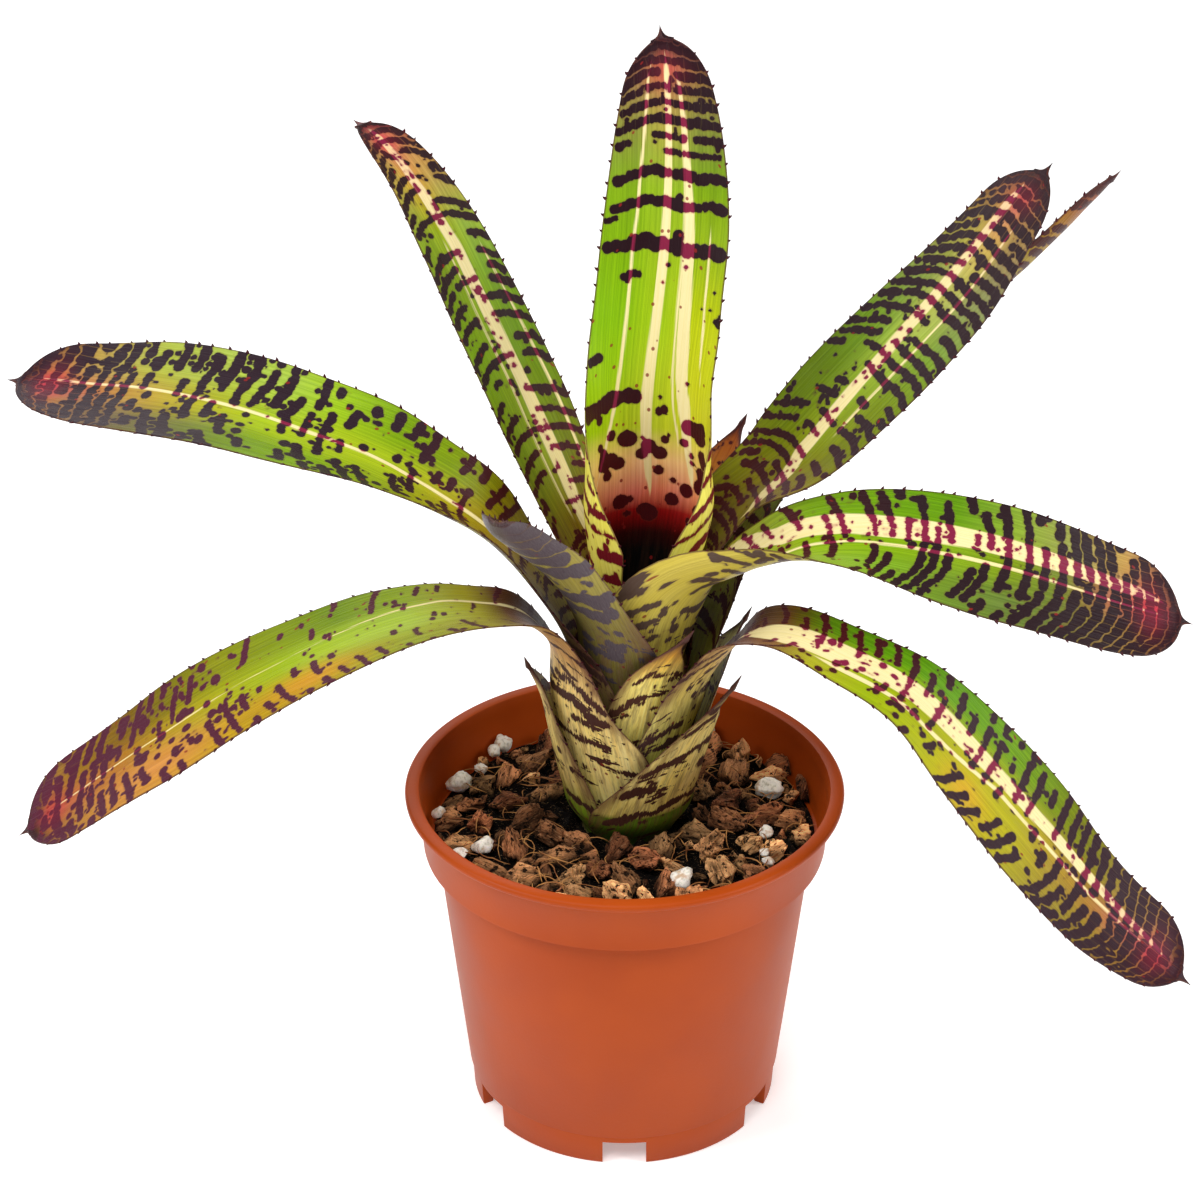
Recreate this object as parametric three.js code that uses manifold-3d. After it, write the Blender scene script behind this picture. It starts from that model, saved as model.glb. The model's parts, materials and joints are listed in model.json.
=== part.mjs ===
// Potted neoregelia bromeliad: a funnel of banded strap leaves on a short stem, in bark mix, in a round
// plastic nursery pot. Millimetres, +Z up, the front of the plant towards -Y.
import * as THREE from "three";
import { mergeVertices } from "three/addons/utils/BufferGeometryUtils.js";
import Module from "manifold-3d";

const wasm = await Module();
wasm.setup();

// Pot: foot ring, tapering body, step, collar and rounded lip
const LIP_RADIUS = 70; // a 14 cm nursery pot
const POT_HEIGHT = 113;
const LIP_INNER_RADIUS = 65.3;
const COLLAR_TOP_RADIUS = 65.8;
const COLLAR_FOOT_RADIUS = 64;
const COLLAR_FOOT = 92.5;
const BODY_TOP_RADIUS = 60.1;
const BODY_FOOT_RADIUS = 51.1;
const FOOT_TOP_RADIUS = 50.4;
const FOOT_RADIUS = 49.8;
const FOOT_HEIGHT = 11.3;
const FOOT_WALL = 3.6;
const WALL = 1.7;
const FLOOR_TOP = 11;
const FLOOR_UNDERSIDE = 9.2;
const NOTCHES = 6;
const NOTCH_WIDTH = 14;
const NOTCH_HEIGHT = 8.6;
const POT_SIDES = 44;

// Bark mix
const SOIL_TOP = 100;
const SOIL_SIDES = 32;
const CHUNKS = 34;
const CHUNK_LEAST = 4; // half of a small chunk's length
const CHUNK_MOST = 8;
const GAP = 0.3;

// Plant
const CROWN_X = 7; // the crown stands a little off the middle of the pot
const CROWN_Y = 7;
const FOOT_SHIFT = 6.2; // the foot of the plant is this far towards -X of the crown
const RINGS = 13; // the outermost ring of sheaths
const LEAF_FOOT = 94; // height of the lowest edge of every sheath, on top of the stem
const FOOT_GIRTH = 14.5;
const HEIGHTS = [94, 100, 108, 120, 132, 144, 156, 168, 180]; // of the rows of a sheath
const STEM_RADIUS = 14.6;
const STEM_FOOT = 78;
const MOST_WRAP = 2.75; // radians round the axis that half a sheath may cover
const SHEATH_THICK = 0.6;
const BLADE_THICK = 0.9;
const TOOTH_PITCH = 10;
const TOOTH_BASE = 1.8;
const TOOTH_LENGTH = 1.3;
const TOOTH_HOOK = 0.5; // how far a tooth leans towards the apex of the leaf
const MUCRO = 4.5; // the sharp point at the apex
const TIP_ROUND = 15; // length over which a blade rounds in to its apex
const SHEATH_FACET = 16; // degrees of turn that one column of facets spans across a sheath
const BLADE_FACET = 28;

const rad = (deg) => (deg * Math.PI) / 180;

const ease = (x) => {
  const f = Math.min(1, Math.max(0, x));
  return f * f * (3 - 2 * f);
};

// Radius of the whole bundle of sheaths at a height: a round foot, then a funnel.
const girth = (z) => FOOT_GIRTH + 7 * ease((z - 93) / 15) + 0.24 * Math.max(0, z - 108);

// Radius at a height of the sheath in ring k, 0 the innermost: nested funnels that never touch.
function ring(k, z) {
  const core = 1.3 + 11.3 * (Math.max(0, z - 88) / 84) ** 1.6;
  return core + (k / RINGS) * (girth(z) - core);
}

// How far the axis of the bundle has leaned from the foot's place to the crown's at a height.
const lean = (z) => ease((z - 115) / 105);

// Each leaf: its ring, the stations between which the sheath turns into a free blade, and its stations from
// foot to apex as [azimuth, radius or null for the ring's own, height, half width, half angle of the channel,
// roll, share of the half width by which the strip lies off the guide line]. Azimuths run counter-clockwise
// from +X; a positive roll lifts the counter-clockwise margin.
const LEAVES = {
  leaf_centre_back: {
    ring: 0,
    free: [4, 6],
    rows: [
      [88, null, 94, 7, 60, 0],
      [88, null, 116, 14, 60, 0],
      [88, null, 144, 25, 60, 0],
      [88, null, 170, 37, 165, 0],
      [88, null, 188, 48, 168, 0],
      [88, 19.5, 204, 50, 150, 0],
      [88, 22, 219, 36, 110, 0],
      [87, 26, 236, 25, 70, 0],
      [84, 32, 258, 21, 34, 0],
      [82, 41, 284, 20, 22, 0],
      [83, 50, 309, 17.5, 20, 0],
      [85, 58, 329, 14, 24, 0],
      [87, 63, 341, 11, 28, 0],
    ],
  },
  leaf_left_back: {
    ring: 1,
    free: [4, 6],
    rows: [
      [140, null, 94, 9, 60, 0],
      [140, null, 116, 15, 60, 0],
      [140, null, 144, 22, 60, 0],
      [140, null, 170, 14, 60, 0],
      [137, 24, 186, 15.5, 50, 0],
      [136, 39, 204, 14.5, 36, 0],
      [134, 57, 226, 15.5, 28, 0],
      [134.5, 73, 248, 15.5, 25, 0],
      [135, 88, 269, 14, 24, 0],
      [135, 103, 285, 11.5, 26, 0],
      [135, 119, 295, 9, 34, 0],
      [135, 132, 299, 7.5, 40, 0],
    ],
  },
  leaf_right_back: {
    ring: 2,
    free: [4, 6],
    rows: [
      [42, null, 94, 10, 60, 0],
      [42, null, 116, 18, 60, 0],
      [42, null, 144, 21, 60, 0],
      [41, null, 168, 14.5, 60, 0],
      [39, 20, 188, 12.5, 50, 0],
      [33, 33, 202, 13.5, 36, 4],
      [26, 50, 215, 19, 18, 10],
      [25, 70, 233, 21, 10, 12],
      [25, 92, 251, 20.5, 8, 12],
      [25, 107, 264, 18.5, 8, 12],
      [25, 122, 280, 14.5, 14, 12],
      [25, 138, 298, 11, 26, 12],
    ],
  },
  leaf_right: {
    ring: 3,
    free: [3, 5],
    rows: [
      [330, null, 94, 12, 60, 0],
      [330, null, 116, 18, 60, 0],
      [330, null, 144, 22, 60, 0, -0.2],
      [330, null, 168, 22, 60, 0, -0.4],
      [333, 21.5, 186, 23, 60, -3, -0.5],
      [338, 27.5, 191, 20, 58, -4, -0.36],
      [346, 38, 195.5, 18.5, 56, -2, -0.15],
      [352, 52, 199, 17.5, 38, 10],
      [355, 72, 199.5, 19, 22, 22],
      [355, 96, 196, 21, 10, 28],
      [355, 120, 190, 21.5, 8, 28],
      [356, 146, 180, 20, 10, 26],
      [357, 169, 172, 16, 20, 24],
    ],
  },
  leaf_front: {
    ring: 4,
    free: [4, 6],
    rows: [
      [230, null, 94, 13, 60, 0],
      [230, null, 116, 20, 60, 0],
      [227, null, 140, 24, 60, 0],
      [224, null, 158, 23, 60, 0],
      [222, 23, 172, 21.5, 60, 0],
      [221, 31, 187, 20, 60, 0],
      [222, 43, 202, 18, 60, 0],
      [226, 57, 215, 15.5, 60, 0],
      [231, 69, 226, 13, 60, 0],
      [236, 80, 238, 8.5, 60, 0],
    ],
  },
  leaf_far_right: {
    ring: 8,
    free: [4, 6],
    rows: [
      [30, null, 94, 14, 60, 0],
      [30, null, 116, 22, 60, 0],
      [30, null, 144, 24, 60, 0],
      [31, null, 166, 19, 60, 0],
      [35, 33, 184, 10.5, 50, 0],
      [37, 50, 199, 8, 40, -10],
      [37, 76, 212, 8.5, 40, -24],
      [37, 104, 225, 9, 44, -34],
      [37, 132, 238, 10, 50, -40],
      [36, 163, 256.5, 9, 50, -42],
      [35, 189, 276, 5, 50, -44],
    ],
  },
  leaf_left: {
    ring: 6,
    free: [4, 6],
    rows: [
      [180, null, 94, 15, 60, 0],
      [180, null, 116, 24, 60, 0],
      [180, null, 144, 26, 60, 0],
      [180, null, 162, 22, 60, 0],
      [180, 34, 181, 18, 60, -4],
      [180, 48, 200, 19.5, 58, -8],
      [179, 64, 212, 18.5, 46, -12],
      [178, 84, 223, 22, 36, -12],
      [177, 107, 231, 23.5, 27, -12],
      [175, 130, 236, 24, 22, -12],
      [173, 154, 237, 23.5, 20, -12],
      [171, 178, 235, 20, 22, -12],
      [170, 203, 235, 14, 34, -12],
    ],
  },
  leaf_short_front: {
    ring: 7,
    free: [3, 4],
    rows: [
      [280, null, 94, 14, 60, 0],
      [280, null, 116, 17, 60, 0],
      [282, null, 142, 13.5, 60, 0],
      [287, null, 162, 9, 60, 0],
      [297, 30, 180, 3, 50, 0],
    ],
  },
  leaf_short_back: {
    ring: 5,
    free: [3, 4],
    rows: [
      [64, null, 94, 15, 60, 0],
      [64, null, 116, 21, 60, 0],
      [64, null, 144, 20, 60, 0],
      [63, null, 168, 12, 60, 0],
      [62, 40, 193, 7.5, 50, 0],
      [62, 56, 203, 5.5, 50, 0],
      [62, 70, 211, 3, 50, 0],
    ],
  },
  leaf_right_front: {
    ring: 9,
    free: [4, 6],
    rows: [
      [330, null, 94, 18, 60, 0],
      [330, null, 116, 23, 60, 0],
      [331, null, 136, 20, 60, 0],
      [329, null, 152, 17, 60, 0],
      [326, 28.5, 165, 15, 50, 4],
      [326, 36.5, 174.5, 14, 36, 2],
      [329, 50, 177.5, 13.5, 24, 2],
      [331, 66, 174, 14.5, 14, 4],
      [333, 89, 165, 17, 10, 6],
      [334, 108.5, 147, 21.5, 8, 8],
      [335, 129, 125, 24, 8, 8],
      [336, 149.5, 102, 22, 10, 6],
      [336.5, 169, 88, 18, 18, 6],
      [336.5, 181, 81, 14, 28, 6],
    ],
  },
  leaf_left_front: {
    ring: 10,
    free: [4, 6],
    rows: [
      [204, null, 94, 20, 60, 0],
      [204, null, 112, 31, 60, 0],
      [204, null, 130, 31, 60, 0],
      [204, null, 147, 23, 60, 0],
      [204, 31, 164, 16, 50, 0],
      [205, 40, 177, 15.5, 36, 2],
      [205, 52, 183, 17.5, 18, 6],
      [203, 68, 185.5, 18.5, 12, 4],
      [200, 88, 182, 20, 10, 0],
      [198, 110, 174, 21, 8, -3],
      [196, 133, 162, 22, 8, -7],
      [194, 156, 146, 23, 8, -9],
      [191, 180, 125, 22, 10, -10],
      [190, 199, 111, 17, 22, -10],
    ],
  },
  leaf_short_right: {
    ring: 11,
    free: [3, 4],
    rows: [
      [10, null, 94, 20, 60, 0],
      [10, null, 114, 22, 60, 0],
      [10, null, 134, 17, 60, 0],
      [9, null, 150, 11, 60, 0],
      [8, 33, 171, 4, 50, 0],
    ],
  },
  sheath_left: {
    ring: 12,
    free: [3, 4],
    rows: [
      [185, null, 94, 16, 60, 0],
      [185, null, 108, 21, 60, 0],
      [185, null, 125, 19, 60, 0],
      [187, null, 142, 12, 60, 0],
      [192, 39, 160, 3.5, 50, 0],
    ],
  },
  sheath_right: {
    ring: 13,
    free: [3, 4],
    rows: [
      [308, null, 94, 19, 60, 0],
      [308, null, 106, 27, 60, 0],
      [313, null, 122, 21, 60, 0],
      [320, null, 138, 13, 60, 0],
      [331, 33, 158, 4, 50, 0],
    ],
  },
};

// Smooth interpolation through evenly numbered rows of numbers.
function through(rows, t) {
  const n = rows.length - 1;
  const i = Math.min(Math.floor(t), n - 1);
  const f = t - i;
  const at = (j) => {
    if (j < 0) return rows[0].map((x, c) => 2 * x - rows[1][c]);
    if (j > n) return rows[n].map((x, c) => 2 * x - rows[n - 1][c]);
    return rows[j];
  };
  const [a, b, c, d] = [at(i - 1), at(i), at(i + 1), at(i + 2)];
  return b.map(
    (_, k) =>
      b[k] +
      0.5 *
        f *
        (c[k] - a[k] + f * (2 * a[k] - 5 * b[k] + 4 * c[k] - d[k] + f * (3 * (b[k] - c[k]) + d[k] - a[k]))),
  );
}

// The midrib of a leaf as closely spaced frames: point, lateral and adaxial directions, arc length.
function midrib(leaf) {
  const nested = leaf.rows.filter(([, r]) => r === null).length - 1;
  const rows = leaf.rows.map(([az, r, z, half, channel, roll, skew = 0], i) => {
    const radius = r === null ? ring(leaf.ring, z) : r;
    const shift = i <= nested ? FOOT_SHIFT * (lean(z) - 1) : 0;
    return [radius * Math.cos(rad(az)), radius * Math.sin(rad(az)), z, half, channel, roll, skew, shift];
  });
  const frames = [];
  const STEPS = 16;
  for (let i = 0; i <= (rows.length - 1) * STEPS; i++) {
    const t = i / STEPS;
    const [x, y, z, half, channel, roll, skew, bent] = through(rows, t);
    const p = new THREE.Vector3(x, y, z);
    const scale = t < nested ? ring(leaf.ring, z) / Math.hypot(x, y) : 1;
    p.x *= scale;
    p.y *= scale;
    const shift = t < nested ? FOOT_SHIFT * (lean(z) - 1) : bent;
    frames.push({ t, p, half, channel: rad(channel), roll: rad(roll), skew, shift });
  }
  const vertical = new THREE.Vector3(0, 0, 1);
  frames.forEach((f, i) => {
    const a = frames[Math.max(0, i - 1)].p;
    const b = frames[Math.min(frames.length - 1, i + 1)].p;
    f.tangent = b.clone().sub(a).normalize();
    const heading = new THREE.Vector3(f.p.x, f.p.y, 0).normalize().multiplyScalar(0.6);
    heading.x += f.tangent.x;
    heading.y += f.tangent.y;
    const side = vertical.clone().cross(heading);
    f.side = side.addScaledVector(f.tangent, -side.dot(f.tangent)).normalize();
    f.up = f.tangent.clone().cross(f.side);
    f.s = i ? frames[i - 1].s + f.p.distanceTo(frames[i - 1].p) : 0;
  });
  return frames;
}

// A point of the leaf's middle surface: s along the midrib, v from -1 to 1 across.
function surface(leaf, frames, s, v) {
  const length = frames[frames.length - 1].s;
  let i = 1;
  while (i < frames.length - 1 && frames[i].s < s) i++;
  const a = frames[i - 1];
  const b = frames[i];
  const f = (s - a.s) / (b.s - a.s);
  const mix = (key) => a[key] + (b[key] - a[key]) * f;
  const mixv = (key) => a[key].clone().lerp(b[key], f);
  const p = mixv("p");
  const blade = length - MUCRO;
  const q = Math.min(1, Math.max(0, (s - (blade - TIP_ROUND)) / TIP_ROUND));
  const point = Math.min(1.5, Math.max(0.12, ((length - s) / MUCRO) * 1.3));
  const half = Math.max(mix("half") * Math.sqrt(Math.max(0, 1 - q ** 2.3)), point);
  // sheath: a horizontal arc about the axis of the plant
  const r = Math.hypot(p.x, p.y);
  const across = v + mix("skew");
  const phi = Math.atan2(p.y, p.x) + across * Math.min(half / r, MOST_WRAP);
  const sheath = new THREE.Vector3(r * Math.cos(phi), r * Math.sin(phi), p.z);
  // blade: a shallow channel across the midrib, rolled about it
  const side = mixv("side").normalize();
  const up = mixv("up").normalize();
  const roll = mix("roll");
  const lateral = side.clone().multiplyScalar(Math.cos(roll)).addScaledVector(up, Math.sin(roll));
  const normal = up.clone().multiplyScalar(Math.cos(roll)).addScaledVector(side, -Math.sin(roll));
  const angle = Math.max(0.02, mix("channel"));
  const bend = half / angle;
  const free = p
    .clone()
    .addScaledVector(lateral, bend * Math.sin(across * angle))
    .addScaledVector(normal, bend * (1 - Math.cos(across * angle)));
  const w = ease((mix("t") - leaf.free[0]) / (leaf.free[1] - leaf.free[0]));
  const made = sheath.lerp(free, w);
  made.x += mix("shift");
  return made;
}

// A leaf as one closed thin solid. The rows of points across it hold fewer columns where it is flatter; both
// faces share one split into triangles, and a tooth stands on each marked edge.
function leafMesh(leaf) {
  const frames = midrib(leaf);
  const length = frames[frames.length - 1].s;
  const sheathEnd = frames.find((f) => f.t >= leaf.free[0]).s;
  const last = length - MUCRO - TIP_ROUND;
  const columnsAt = (s) => {
    const frame = frames.find((f) => f.s >= s - 1e-6);
    const w = ease((frame.t - leaf.free[0]) / (leaf.free[1] - leaf.free[0]));
    const wrap = Math.min(MOST_WRAP, frame.half / Math.hypot(frame.p.x, frame.p.y));
    const columns = (wrap / rad(SHEATH_FACET)) * (1 - w) + (frame.channel / rad(BLADE_FACET)) * w;
    return 2 * Math.min(7, Math.max(2, Math.round(columns)));
  };
  // every sheath has its rows at the same heights, so that the nested facets keep apart
  const stations = [];
  for (const height of HEIGHTS) {
    const i = frames.findIndex((f) => f.p.z >= height - 1e-6);
    if (i < 0) break;
    const [a, b] = [frames[Math.max(0, i - 1)], frames[i]];
    const s = i ? a.s + ((height - a.p.z) / (b.p.z - a.p.z)) * (b.s - a.s) : 0;
    if (s < sheathEnd - 5) stations.push([s, columnsAt(s)]);
  }
  const sheathRows = stations.length;
  const bladeRows = Math.max(1, Math.round((last - sheathEnd) / TOOTH_PITCH));
  for (let i = 0; i < bladeRows; i++) {
    const s = sheathEnd + ((last - sheathEnd) * i) / bladeRows;
    stations.push([s, columnsAt(s)]);
  }
  for (const f of [0, 0.38, 0.66, 0.86, 0.97]) stations.push([last + TIP_ROUND * f, 4]);
  stations.push([length - MUCRO * 0.6, 2]);
  stations.push([length, 0]);

  const uv = [];
  const rows = stations.map(([s, columns]) => {
    const row = [];
    for (let j = 0; j <= columns; j++) {
      row.push(uv.length);
      uv.push([s, columns ? (2 * j) / columns - 1 : 0]);
    }
    return row;
  });
  const faces = [];
  const teeth = new Set();
  const first = Math.max(1, sheathRows - 2);
  rows.slice(1).forEach((next, k) => {
    const row = rows[k];
    const gap = stations[k + 1][0] - stations[k][0];
    const toothed = k >= first && gap > 4 && next.length > 4;
    let a = 0;
    let b = 0;
    const ends = [row[0], next[0], row[row.length - 1], next[next.length - 1]];
    // the strip of triangles between the two rows, walked by position across the leaf
    const strip = [];
    while (a < row.length - 1 || b < next.length - 1) {
      const va = a < row.length - 1 ? uv[row[a + 1]][1] : 9;
      const vb = b < next.length - 1 ? uv[next[b + 1]][1] : 9;
      if (va <= vb + 1e-9 && a < row.length - 1) {
        strip.push([row[a], row[a + 1], next[b]]);
        a++;
      } else {
        strip.push([row[a], next[b + 1], next[b]]);
        b++;
      }
    }
    if (!toothed) {
      faces.push(...strip);
      return;
    }
    // split the outermost triangle at the foot of a tooth halfway along each margin
    [
      [ends[0], ends[1], -1],
      [ends[2], ends[3], 1],
    ].forEach(([low, high, v]) => {
      const middle = (uv[low][0] + uv[high][0]) / 2;
      const m1 = uv.length;
      const m2 = uv.length + 1;
      uv.push([middle - TOOTH_BASE / 2, v], [middle + TOOTH_BASE / 2, v]);
      const i = strip.findIndex((t) => t.includes(low) && t.includes(high));
      const tri = strip[i];
      const apex = tri.find((x) => x !== low && x !== high);
      const forward = tri[(tri.indexOf(low) + 1) % 3] === high;
      const chain = forward ? [low, m1, m2, high] : [high, m2, m1, low];
      strip.splice(i, 1, ...[0, 1, 2].map((c) => [chain[c], chain[c + 1], apex]));
      teeth.add(forward ? m1 + "," + m2 : m2 + "," + m1);
    });
    faces.push(...strip);
  });

  // both faces, offset along the normal of the middle surface
  const count = uv.length;
  const points = [];
  const normals = uv.map(([s, v]) => {
    const d = 0.5;
    const along = surface(leaf, frames, Math.min(length, s + d), v);
    along.sub(surface(leaf, frames, Math.max(0, s - d), v));
    const w = Math.min(0.9, Math.max(-1, v - 0.05));
    const across = surface(leaf, frames, s, w + 0.1).sub(surface(leaf, frames, s, w));
    return along.cross(across).normalize();
  });
  const middles = uv.map(([s, v]) => surface(leaf, frames, s, v));
  const thickness = (s) => (SHEATH_THICK + (BLADE_THICK - SHEATH_THICK) * ease((s - sheathEnd) / 30)) / 2;
  [1, -1].forEach((sign) =>
    uv.forEach(([s], i) => points.push(middles[i].clone().addScaledVector(normals[i], sign * thickness(s)))),
  );
  const triangles = [];
  const edges = new Set();
  faces.forEach(([a, b, c]) => {
    triangles.push([a, c, b], [a + count, b + count, c + count]);
    [
      [a, b],
      [b, c],
      [c, a],
    ].forEach(([x, y]) => edges.add(x + "," + y));
  });
  edges.forEach((key) => {
    const [x, y] = key.split(",").map(Number);
    if (edges.has(y + "," + x)) return;
    if (!teeth.has(key)) {
      triangles.push([x, y, x + count], [x + count, y, y + count]);
      return;
    }
    // a tooth: the edge drawn out to a point, hooked a little towards the apex of the leaf
    const centre = middles[x].clone().add(middles[y]).multiplyScalar(0.5);
    const inner = surface(leaf, frames, (uv[x][0] + uv[y][0]) / 2, uv[x][1] * 0.9);
    const out = centre.clone().sub(inner).normalize();
    const [near, far] = uv[x][0] < uv[y][0] ? [x, y] : [y, x];
    const ahead = middles[far].clone().sub(middles[near]).normalize();
    const tip = centre.addScaledVector(out, TOOTH_LENGTH).addScaledVector(ahead, TOOTH_HOOK);
    const apex = points.length;
    points.push(tip);
    triangles.push([x, y, apex], [x + count, x, apex], [y + count, x + count, apex], [y, y + count, apex]);
  });
  const shift = new THREE.Vector3(CROWN_X, CROWN_Y, 0);
  const geometry = new THREE.BufferGeometry();
  geometry.setAttribute(
    "position",
    new THREE.Float32BufferAttribute(points.flatMap((p) => p.clone().add(shift).toArray()), 3),
  );
  geometry.setIndex(triangles.flat());
  return geometry;
}

// A geometry as a solid that can be joined and cut, and back.
function solid(geometry) {
  const bare = new THREE.BufferGeometry().setAttribute("position", geometry.getAttribute("position"));
  if (geometry.index) bare.setIndex(geometry.index);
  const merged = mergeVertices(bare, 1e-4);
  const mesh = new wasm.Mesh({
    numProp: 3,
    vertProperties: merged.attributes.position.array,
    triVerts: new Uint32Array(merged.index.array),
  });
  return new wasm.Manifold(mesh);
}

function toGeometry(manifold) {
  const mesh = manifold.getMesh();
  const geometry = new THREE.BufferGeometry();
  geometry.setAttribute("position", new THREE.BufferAttribute(mesh.vertProperties, 3));
  geometry.setIndex(new THREE.BufferAttribute(mesh.triVerts, 1));
  return geometry;
}

// A solid turned about a vertical axis from [radius, height] points, from the axis round to the axis.
function turned(points, sides, x = 0, y = 0) {
  const profile = points.map(([r, z]) => new THREE.Vector2(r, z));
  return solid(new THREE.LatheGeometry(profile, sides).rotateX(Math.PI / 2).translate(x, y, 0));
}

function pot() {
  const body = turned(
    [
      [0, FLOOR_UNDERSIDE],
      [FOOT_RADIUS - FOOT_WALL - 1.6, FLOOR_UNDERSIDE],
      [FOOT_RADIUS - FOOT_WALL - 0.2, FLOOR_UNDERSIDE - 0.8],
      [FOOT_RADIUS - FOOT_WALL, 0],
      [FOOT_RADIUS, 0],
      [FOOT_TOP_RADIUS, FOOT_HEIGHT - 0.7],
      [BODY_FOOT_RADIUS, FOOT_HEIGHT],
      [BODY_TOP_RADIUS, COLLAR_FOOT],
      [COLLAR_FOOT_RADIUS - 0.4, COLLAR_FOOT + 0.1],
      [COLLAR_FOOT_RADIUS + 0.5, COLLAR_FOOT + 0.9],
      [COLLAR_TOP_RADIUS, POT_HEIGHT - 3.2],
      [LIP_RADIUS - 1.6, POT_HEIGHT - 3],
      [LIP_RADIUS - 0.4, POT_HEIGHT - 2.4],
      [LIP_RADIUS, POT_HEIGHT - 1.4],
      [LIP_RADIUS - 0.3, POT_HEIGHT - 0.4],
      [LIP_RADIUS - 1.1, POT_HEIGHT],
      [LIP_INNER_RADIUS + 0.9, POT_HEIGHT],
      [LIP_INNER_RADIUS, POT_HEIGHT - 0.6],
      ...inside().reverse(),
    ],
    POT_SIDES,
  );
  let foot = body;
  for (let i = 0; i < NOTCHES; i++) {
    const notch = new THREE.BoxGeometry(10, NOTCH_WIDTH, NOTCH_HEIGHT * 2);
    notch.translate(FOOT_RADIUS - FOOT_WALL / 2, 0, 0).rotateZ(((i + 0.5) * 2 * Math.PI) / NOTCHES);
    foot = foot.subtract(solid(notch));
  }
  return toGeometry(foot);
}

// Inner face of the pot from the middle of its floor up to the lip, drawn in by a clearance.
function inside(clearance = 0) {
  return [
    [0, FLOOR_TOP],
    [BODY_FOOT_RADIUS - WALL - 1, FLOOR_TOP],
    [BODY_FOOT_RADIUS - WALL, FLOOR_TOP + 1.5],
    [BODY_TOP_RADIUS - WALL, COLLAR_FOOT + 1.6],
    [COLLAR_FOOT_RADIUS - 1.8, COLLAR_FOOT + 2.2],
    [COLLAR_FOOT_RADIUS - 0.7, COLLAR_FOOT + 3.6],
    [LIP_INNER_RADIUS - 0.7, POT_HEIGHT - 4],
  ].map(([r, z]) => [Math.max(0, r - clearance), z + (z < POT_HEIGHT - 5 ? clearance : 0)]);
}

// Numbers from 0 to 1 in a fixed order.
function dice(seed) {
  let state = seed;
  return () => {
    state = (state * 1664525 + 1013904223) % 4294967296;
    return state / 4294967296;
  };
}

// The mix: a bed with broken chunks of bark bedded in its top, and a round hole for the plant.
function mix() {
  const room = inside(GAP);
  const rim = [COLLAR_FOOT_RADIUS - 0.8, SOIL_TOP - 2.5];
  const bed = turned([...room.slice(0, 6), rim, [50, SOIL_TOP - 0.8], [0, SOIL_TOP]], SOIL_SIDES);
  const roll = dice(11);
  const laid = [];
  let bark = null;
  for (let tries = 0; laid.length < CHUNKS && tries < 4000; tries++) {
    const size = CHUNK_LEAST + (CHUNK_MOST - CHUNK_LEAST) * roll() ** 2;
    const az = roll() * 2 * Math.PI;
    const out = Math.sqrt(roll()) * (COLLAR_FOOT_RADIUS - 2 - size);
    const x = out * Math.cos(az);
    const y = out * Math.sin(az);
    const clear = laid.every(([a, b, other]) => Math.hypot(a - x, b - y) > (size + other) * 0.86);
    if (!clear || Math.hypot(x - CROWN_X + FOOT_SHIFT, y - CROWN_Y) < 19 + size * 0.7) continue;
    laid.push([x, y, size]);
    const chunk = new THREE.IcosahedronGeometry(1, 0);
    const corners = new Map();
    const at = chunk.getAttribute("position");
    for (let i = 0; i < at.count; i++) {
      const key = [at.getX(i), at.getY(i), at.getZ(i)].map((c) => c.toFixed(3)).join();
      if (!corners.has(key)) corners.set(key, 0.78 + 0.36 * roll());
      const k = corners.get(key);
      at.setXYZ(i, at.getX(i) * k, at.getY(i) * k, at.getZ(i) * k);
    }
    chunk.scale(size, size * (0.62 + 0.3 * roll()), size * 0.62);
    chunk.rotateX(roll() - 0.5).rotateY(roll() - 0.5).rotateZ(roll() * 2 * Math.PI);
    chunk.translate(x, y, SOIL_TOP - 1 + size * 0.16);
    bark = bark ? bark.add(solid(chunk)) : solid(chunk);
  }
  const bore = [93, 96, 100, 104, 108, 125].map((z) => [girth(z) + 0.75, z]);
  const hole = [[0, STEM_FOOT - GAP], [FOOT_GIRTH + 0.75, STEM_FOOT - GAP], ...bore, [0, 125]];
  const made = bark.intersect(turned([...room, [0, POT_HEIGHT - 4]], SOIL_SIDES)).add(bed);
  return toGeometry(made.subtract(turned(hole, SOIL_SIDES, CROWN_X - FOOT_SHIFT, CROWN_Y)));
}

function stem() {
  const length = LEAF_FOOT - GAP - STEM_FOOT;
  const geometry = new THREE.CylinderGeometry(STEM_RADIUS, STEM_RADIUS * 0.8, length, 28);
  return geometry.rotateX(Math.PI / 2).translate(CROWN_X - FOOT_SHIFT, CROWN_Y, STEM_FOOT + length / 2);
}

const plant = new THREE.Group();

function add(name, geometry, color, roughness) {
  geometry.computeVertexNormals();
  const mesh = new THREE.Mesh(geometry, new THREE.MeshStandardMaterial({ color, roughness }));
  mesh.name = name;
  plant.add(mesh);
}

add("pot", pot(), 0xc0592f, 0.5);
add("bark_mix", mix(), 0x4a3020, 0.95);
add("stem", stem(), 0x8a9a4a, 0.8);
for (const [name, leaf] of Object.entries(LEAVES)) add(name, leafMesh(leaf), 0x7fa52c, 0.45);

// the origin lies under the middle of the whole plant, on the plane the pot stands on
const extent = new THREE.Box3().setFromObject(plant);
plant.position.set(-(extent.min.x + extent.max.x) / 2, -(extent.min.y + extent.max.y) / 2, 0);

export default plant;
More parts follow.
